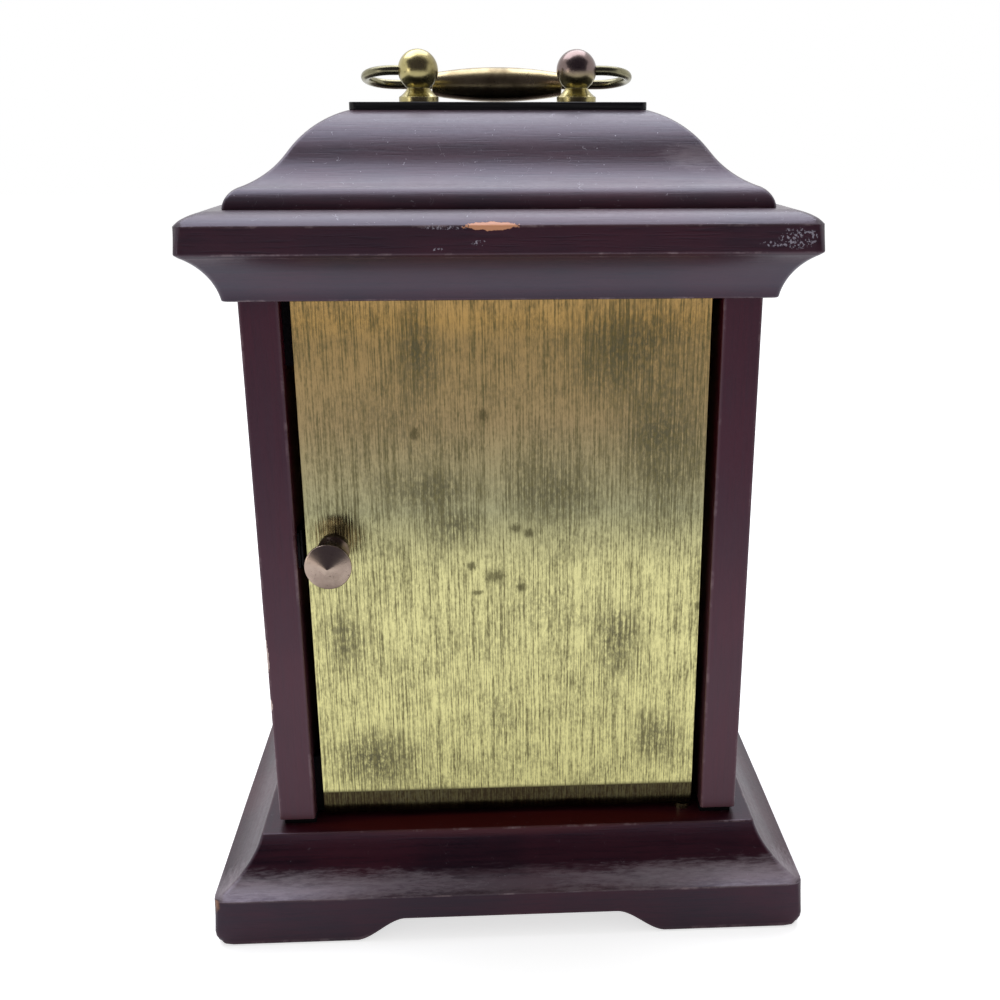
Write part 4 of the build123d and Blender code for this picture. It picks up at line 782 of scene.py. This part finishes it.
(west, inner, bottom), (east, outer, top) = node_box("front_frame")
boards("front_frame_lacquered", [
    ((west, inner, bottom), (west + STILE, outer, top)),
    ((east - STILE, inner, bottom), (east, outer, top)),
], UPRIGHT, 0.4, mahogany_z, "front_frame")
boards("front_frame_rails_lacquered", [
    ((west + STILE, inner, bottom), (east - STILE, outer, bottom + STILE)),
    ((west + STILE, inner, top - STILE), (east - STILE, outer, top)),
], ACROSS, 0.25, mahogany_x, "front_frame")


# ---------------------------------------------------------------- eased copies of CAD nodes

BROAD_FACE = 5 * MM * MM
# CAD triangles that lie this flat are joined again, and eased arrises up to this sharp are smooth
FLAT = math.radians(0.6)
EASED_EDGE = math.radians(40)
CAD_WELD = 1e-6


def eased_copy(node, width, material, body, segments=3):
    """A copy of a CAD node with its sharp arrises eased."""
    mesh = nodes[node].data.copy()
    work = bmesh.new()
    work.from_mesh(mesh)
    bmesh.ops.remove_doubles(work, verts=work.verts, dist=CAD_WELD)
    bmesh.ops.dissolve_limit(work, angle_limit=FLAT, verts=work.verts, edges=work.edges)
    work.to_mesh(mesh)
    work.free()
    made = bpy.data.objects.new("working_copy", mesh)
    bpy.context.collection.objects.link(made)
    easing = made.modifiers.new("eased_arris", "BEVEL")
    easing.width = width * MM
    easing.segments = segments
    easing.limit_method = "ANGLE"
    easing.angle_limit = SHARP_EDGE
    easing.use_clamp_overlap = True
    shown = bpy.context.evaluated_depsgraph_get()
    solid = bpy.data.meshes.new_from_object(made.evaluated_get(shown))
    bpy.data.objects.remove(made)
    # A broad flat face keeps its own normal, or its eased arrises would seem to bend it
    piece = finished(node + "_finished", solid, material, EASED_EDGE, False, BROAD_FACE)
    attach(piece, body)
    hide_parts(node)


eased_copy("rear_door", 0.18, door_brass, "door")
eased_copy("bell_cap", 0.2, ebonised, "case")
eased_copy("sight_frame", 0.12, sight_brass, "case")
eased_copy("hour_hand", 0.1, blued, "hour_wheel", 2)
eased_copy("minute_hand", 0.1, blued, "minute_arbor", 2)
eased_copy("hand_nut", 0.15, wheel_brass, "minute_arbor", 2)


# ---------------------------------------------------------------- turned brass

def turned(profile, steps, place):
    """A solid of revolution. Its profile runs from axis to axis as (radius, height)."""
    surface = Surface()
    rings = []
    for radius, height in profile[1:-1]:
        rings.append([place(radius * math.cos(math.tau * k / steps),
                            radius * math.sin(math.tau * k / steps), height)
                      for k in range(steps)])
    surface.loft(rings, [0.0] * steps, closed_ends=False)
    size = len(rings) * steps
    for _, height in (profile[0], profile[-1]):
        surface.points.append(place(0.0, 0.0, height))
        surface.worn.append(0.0)
    for k in range(steps):
        after = (k + 1) % steps
        surface.faces.append((size, after, k))
        surface.faces.append((size + 1, size - steps + k, size - steps + after))
    return surface


def turned_profile(steps):
    """A turned profile from (radius, height, rounding) steps, closed along the axis."""
    outline, _ = eased_section(steps, facets=5, margin=0.12)
    return outline


knob_low, knob_high = node_box("door_knob")
KNOB_X = (knob_low[0] + knob_high[0]) / 2
KNOB_Z = (knob_low[2] + knob_high[2]) / 2
KNOB_FOOT = knob_high[1]
knob_profile = turned_profile([
    (0.0, 0.0, 0),
    (3.5, 0.0, 0.15),
    (3.5, 1.1, 0.25),
    (2.2, 5.65, 4.9, 10.2, 0.25),
    (4.9, 10.9, 0.3),
    (0.12, 12.76, 0.1),
    (0.0, 12.8, 0),
])
knob = turned(knob_profile, 96, lambda u, v, h: (KNOB_X + u, KNOB_FOOT - h, KNOB_Z + v)).piece(
    "door_knob_turned", pink_brass)
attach(knob, "door")
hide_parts("door_knob")

BALL = 4.3
POST_X = 17.0
STUD = 12.0
post_profile = turned_profile([
    (0.0, CAP_TOP - STUD, 0),
    (1.5, CAP_TOP - STUD, 0.2),
    (1.5, CAP_TOP, 0),
    (4.25, CAP_TOP, 0.12),
    (4.25, CAP_TOP + 1.1, 0.25),
    (3.1, CAP_TOP + 2.0, 2.4, PIVOT_LEVEL - 3.57, 0.2),
    (BALL, PIVOT_LEVEL, 0.0, PIVOT_LEVEL + BALL, 0),
])
for side, sign in (("left", -1), ("right", 1)):
    post = turned(post_profile, 72, lambda u, v, h: (sign * POST_X + u, v, h)).piece(
        f"ball_post_{side}_turned", turned_brass)
    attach(post, "case")
    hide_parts("handle_posts")

# The bail at rest: how far it reaches from its pivots, half its grip, and how far it hangs down
BAIL_REACH = 13.0
GRIP_HALF = 14.5
BAIL_FOLD = math.radians(11.31)
# Its wire, from inside the ball round the bend and into the grip
WIRE_RADIUS = 1.0
WIRE_SIDES = 24
WIRE_STEP = 1.2
WIRE_START = POST_X + 1.35
WIRE_BEND = POST_X + 5.2
WIRE_END = GRIP_HALF - 0.8


def folded(along, out, up):
    """A point of the folded bail: along X, out from its pivots, and up from its own plane."""
    c, s = math.cos(BAIL_FOLD), math.sin(BAIL_FOLD)
    return (along, out * c + up * s, PIVOT_LEVEL - out * s + up * c)


def wire_loop(surface, sign):
    """One bent wire of the bail, from its ball to the grip."""
    radius = BAIL_REACH / 2
    path = [(x, 0.0, 1.0, 0.0) for x in between(WIRE_START, WIRE_BEND, WIRE_STEP)[:-1]]
    for degrees in between(-90, 90, 2.5):
        turn = math.radians(degrees)
        path.append((WIRE_BEND + radius * math.cos(turn), radius + radius * math.sin(turn),
                     -math.sin(turn), math.cos(turn)))
    path += [(x, BAIL_REACH, -1.0, 0.0) for x in
             reversed(between(WIRE_END, WIRE_BEND, WIRE_STEP)[:-1])]
    rings = []
    for x, out, along_x, along_out in path:
        ring = []
        for k in range(WIRE_SIDES):
            turn = math.tau * k / WIRE_SIDES
            aside = math.cos(turn) * WIRE_RADIUS
            up = math.sin(turn) * WIRE_RADIUS
            ring.append(folded(sign * (x + aside * along_out), out - aside * along_x, up))
        rings.append(ring)
    surface.loft(rings, [0.0] * WIRE_SIDES)


bail_wires = Surface()
for sign in (-1, 1):
    wire_loop(bail_wires, sign)
loops = bail_wires.piece("bail_loops_bent_wire", loop_brass)
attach(loops, "handle")
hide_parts("bail_loops")

grip_profile = turned_profile([
    (0.0, -GRIP_HALF, 0),
    (2.4, -GRIP_HALF, 0.3),
    (3.65, 0.0, 2.4, GRIP_HALF, 0.3),
    (0.0, GRIP_HALF, 0),
])
grip = turned(grip_profile, 72, lambda u, v, h: folded(h, BAIL_REACH + u, v)).piece(
    "bail_grip_turned", bronze)
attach(grip, "handle")
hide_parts("bail_grip")


# ---------------------------------------------------------------- dial

NUMERALS = ["XII", "I", "II", "III", "IIII", "V", "VI", "VII", "VIII", "IX", "X", "XI"]
NUMERAL_SIZE = 7.4
NUMERAL_RADIUS = 31.6
# Half the thickness of the raised paint, whose middle stands that far in front of the ring
PAINT_HALF = 0.03
RING_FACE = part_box("chapter_ring")[1][1] / MM
ON_RING = Matrix.Translation((0, (RING_FACE + PAINT_HALF) * MM, DIAL_LEVEL * MM))


def dial_numerals():
    """The twelve hour numerals as thin raised paint, read from the dial side."""
    work = bmesh.new()
    for hour, word in enumerate(NUMERALS):
        letters = bpy.data.curves.new("numeral", "FONT")
        letters.body = word
        letters.size = NUMERAL_SIZE * MM
        letters.extrude = PAINT_HALF * MM
        letters.align_x = "CENTER"
        letters.align_y = "CENTER"
        holder = bpy.data.objects.new("numeral", letters)
        bpy.context.collection.objects.link(holder)
        shown = bpy.context.evaluated_depsgraph_get()
        mesh = bpy.data.meshes.new_from_object(holder.evaluated_get(shown))
        bpy.data.objects.remove(holder)
        # A long numeral is drawn narrower, to keep clear of its neighbours
        narrow = 0.62 if len(word) > 3 else 0.8
        spin = Matrix.Rotation(-math.tau * hour / 12, 4, "Z")
        lift = Matrix.Translation((0, NUMERAL_RADIUS * MM, 0)) @ Matrix.Diagonal((narrow, 1, 1, 1))
        stand = Matrix.Rotation(math.pi, 4, "Z") @ Matrix.Rotation(math.radians(90), 4, "X")
        mesh.transform(ON_RING @ stand @ spin @ lift)
        work.from_mesh(mesh)
        bpy.data.meshes.remove(mesh)
    mesh = bpy.data.meshes.new("dial_numerals")
    work.to_mesh(mesh)
    work.free()
    made = finished("dial_numerals", mesh, ink)
    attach(made, "case")


def minute_track():
    """Sixty minute marks round the chapter ring, the fives heavier, by Geometry Nodes."""
    tree = bpy.data.node_groups.new("minute_marks", "GeometryNodeTree")
    for name, kind, value in (("Radius", "NodeSocketFloat", 35.6 * MM),
                              ("Mark Length", "NodeSocketFloat", 1.3 * MM),
                              ("Mark Width", "NodeSocketFloat", 0.28 * MM),
                              ("Heavier By", "NodeSocketFloat", 1.6),
                              ("Marks", "NodeSocketInt", 60)):
        socket = tree.interface.new_socket(name, in_out="INPUT", socket_type=kind)
        socket.default_value = value
    tree.interface.new_socket("Geometry", in_out="OUTPUT", socket_type="NodeSocketGeometry")
    given = add(tree, "NodeGroupInput", out=None).outputs
    ring = add(tree, "GeometryNodeMeshCircle", {
        "Vertices": given["Marks"], "Radius": given["Radius"]}, "Mesh")
    index = add(tree, "GeometryNodeInputIndex")
    fifth = add(tree, "ShaderNodeMath", {0: index, 1: 5.0}, operation="MODULO")
    heavy = add(tree, "ShaderNodeMath", {0: fifth, 1: 0.5}, operation="LESS_THAN")
    widen = add(tree, "ShaderNodeMath", {0: heavy, 1: given["Heavier By"], 2: 1.0},
                operation="MULTIPLY_ADD")
    size = add(tree, "ShaderNodeCombineXYZ", {
        0: given["Mark Length"], 1: given["Mark Width"], 2: 2 * PAINT_HALF * MM})
    block = add(tree, "GeometryNodeMeshCube", {"Size": size}, "Mesh")
    each_turn = add(tree, "ShaderNodeMath", {0: math.tau, 1: given["Marks"]}, operation="DIVIDE")
    turn = add(tree, "ShaderNodeMath", {0: index, 1: each_turn}, operation="MULTIPLY")
    spin = add(tree, "ShaderNodeCombineXYZ", {2: turn})
    stretch = add(tree, "ShaderNodeCombineXYZ", {0: 1.0, 1: widen, 2: 1.0})
    placed = add(tree, "GeometryNodeInstanceOnPoints", {
        "Points": ring, "Instance": block, "Rotation": spin, "Scale": stretch})
    real = add(tree, "GeometryNodeRealizeInstances", {0: placed})
    coated = add(tree, "GeometryNodeSetMaterial", {"Geometry": real, "Material": ink})
    add(tree, "NodeGroupOutput", {"Geometry": coated}, None)
    holder = bpy.data.objects.new("marks", bpy.data.meshes.new("marks"))
    bpy.context.collection.objects.link(holder)
    maker = holder.modifiers.new("marks", "NODES")
    maker.node_group = tree
    shown = bpy.context.evaluated_depsgraph_get()
    mesh = bpy.data.meshes.new_from_object(holder.evaluated_get(shown))
    bpy.data.objects.remove(holder)
    mesh.transform(ON_RING @ Matrix.Rotation(math.radians(-90), 4, "X"))
    made = finished("minute_track", mesh, ink)
    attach(made, "case")


dial_numerals()
minute_track()


# ---------------------------------------------------------------- CAD nodes that stay

kept = {
    mahogany_x: ["base_board"],
    # Painted shadow: the floor under the stiles and the door stops are near black
    shadow_black_pine: ["case_floor", "door_stops"],
    pine: ["bell_core", "roof_board"],
    beech: ["dial_battens"],
    turned_brass: ["hinge_pins"],
    blackened: ["door_catch"],
    wheel_brass: ["set_knob", "winding_key", "mainspring_barrel", "centre_wheel", "third_wheel",
                  "fourth_wheel", "cannon_pinion", "minute_wheel", "hour_wheel", "balance"],
    plate_brass: ["back_plate", "front_plate", "pillars", "balance_cock", "dial_posts",
                  "barrel_cover"],
    steel: ["plate_screws", "small_screws", "case_screws", "dial_screws", "door_knob_screw",
            "barrel_arbor", "centre_arbor", "ratchet_wheel", "click", "click_spring",
            "mainspring", "escape_wheel", "lever", "hairspring"],
    glass: ["front_glass"],
    dial_brass: ["dial_plate"],
    enamel: ["chapter_ring"],
}
for mat, names in kept.items():
    for name in names:
        nodes[name].data.materials.clear()
        nodes[name].data.materials.append(mat)


# ---------------------------------------------------------------- studio

def seen_rays(tree):
    """The camera's rays, and those that reach a thing by way of a mirror or glass."""
    path = add(tree, "ShaderNodeLightPath", out=None).outputs
    mirrored = add(tree, "ShaderNodeMath", {
        0: path["Is Glossy Ray"], 1: path["Is Transmission Ray"]}, operation="MAXIMUM")
    return path["Is Camera Ray"], mirrored


def white_floor(to_camera, to_mirrors):
    """White paper that glows for camera, mirror and glass, so that it is white but for shadows."""
    mat, tree, surface, _ = start_material("white_floor")
    camera_rays, mirrored = seen_rays(tree)
    own_light = summed(tree, (camera_rays, to_camera), (mirrored, to_mirrors))
    diffuse = add(tree, "ShaderNodeBsdfDiffuse", {"Color": srgb("#e6e6e6")})
    glow = add(tree, "ShaderNodeEmission", {"Color": srgb("#ffffff"), "Strength": own_light})
    tree.links.new(add(tree, "ShaderNodeAddShader", {0: diffuse, 1: glow}), surface)
    return mat


def dark_room():
    """The unlit room behind the photographer: a dull purple-grey that brass and lacquer mirror."""
    mat, tree, surface, _ = start_material("dark_room")
    tree.links.new(add(tree, "ShaderNodeEmission", {"Color": srgb("#4a4650")}), surface)
    return mat


def sheet(name, points, faces, material):
    """A sheet of the studio."""
    mesh = bpy.data.meshes.new(name)
    mesh.from_pydata(points, [], faces)
    mesh.materials.append(material)
    made = bpy.data.objects.new(name, mesh)
    bpy.context.collection.objects.link(made)
    return made


# The studio is in metres. The floor lies just under the feet, clear of their soles
FLOOR_REACH = 3.0
FLOOR_LEVEL = -0.0003
floor = sheet("studio_floor", [
    (-FLOOR_REACH, -FLOOR_REACH, 0), (FLOOR_REACH, -FLOOR_REACH, 0),
    (FLOOR_REACH, FLOOR_REACH, 0), (-FLOOR_REACH, FLOOR_REACH, 0)], [(0, 1, 2, 3)],
    white_floor(0.66, 0.3))
floor.location.z = FLOOR_LEVEL

# The dark room, which only mirrors see: a card that curves from the floor up, in degrees
ROOM_REACH = 1.6
ROOM_HALF_WIDTH = 2.3
ROOM_MIDDLE = 0.1
ROOM_CURVE = range(-3, 82, 6)
room_points = []
for degrees in ROOM_CURVE:
    turn = math.radians(degrees)
    out_y, out_z = -ROOM_REACH * math.cos(turn), ROOM_MIDDLE + ROOM_REACH * math.sin(turn)
    room_points += [(-ROOM_HALF_WIDTH, out_y, out_z), (ROOM_HALF_WIDTH, out_y, out_z)]
room_faces = [(i, i + 1, i + 3, i + 2) for i in range(0, len(room_points) - 2, 2)]
room_card = sheet("dark_room_card", room_points, room_faces, dark_room())
room_card.visible_camera = False
room_card.visible_diffuse = False
room_card.visible_transmission = False
room_card.visible_shadow = False

# The world is white where it is seen, and lights the clock at less than half of that
world = bpy.data.worlds.new("studio")
bpy.context.scene.world = world
world.use_nodes = True
sky = world.node_tree
sky.nodes.clear()
camera_rays, mirrored = seen_rays(sky)
seen = add(sky, "ShaderNodeMath", {0: camera_rays, 1: mirrored}, operation="MAXIMUM")
level = add(sky, "ShaderNodeMapRange", {"Value": seen, "To Min": 0.45, "To Max": 1.0})
light = add(sky, "ShaderNodeBackground", {"Color": srgb("#ffffff"), "Strength": level})
add(sky, "ShaderNodeOutputWorld", {"Surface": light}, None)


def softbox(name, place, target, width, height, brightness, tint):
    """A soft lamp that looks at a point. Its brightness is that of its own face, white being 1."""
    lamp = bpy.data.lights.new(name, "AREA")
    lamp.shape = "RECTANGLE"
    lamp.size = width
    lamp.size_y = height
    lamp.energy = brightness * math.pi * width * height
    lamp.color = srgb(tint)[:3]
    made = bpy.data.objects.new(name, lamp)
    made.location = place
    made.rotation_euler = (Vector(target) - Vector(place)).to_track_quat("-Z", "Y").to_euler()
    bpy.context.collection.objects.link(made)


softbox("lamp_overhead", (-0.1, 0.32, 0.95), (0, 0, 0.1), 1.2, 0.75, 3.6, "#f4f6ff")
softbox("lamp_left", (-1.0, -0.7, 0.16), (0, 0, 0.09), 0.3, 0.3, 3.0, "#fff8ee")

# The camera that was fitted to the clock's corners in the photograph
CAMERA_PLACE = (-0.00470, -0.28432, 0.17604)
CAMERA_RIGHT = Vector((0.99845, -0.05557, 0.0))
CAMERA_UP = Vector((0.01845, 0.33149, 0.9433))
CAMERA_AHEAD = Vector((0.0524, 0.9418, -0.3320))
camera_data = bpy.data.cameras.new("photo_view")
camera_data.sensor_fit = "HORIZONTAL"
camera_data.sensor_width = 36.0
camera_data.lens = 44.39
camera_data.shift_x = -0.0492
camera_data.shift_y = 0.0545
camera_data.clip_start = 0.01
camera = bpy.data.objects.new("photo_view", camera_data)
looking = Matrix((CAMERA_RIGHT, CAMERA_UP, -CAMERA_AHEAD)).transposed().to_4x4()
camera.matrix_world = Matrix.Translation(CAMERA_PLACE) @ looking
bpy.context.collection.objects.link(camera)
bpy.context.scene.camera = camera
bpy.context.scene.view_settings.view_transform = "Standard"
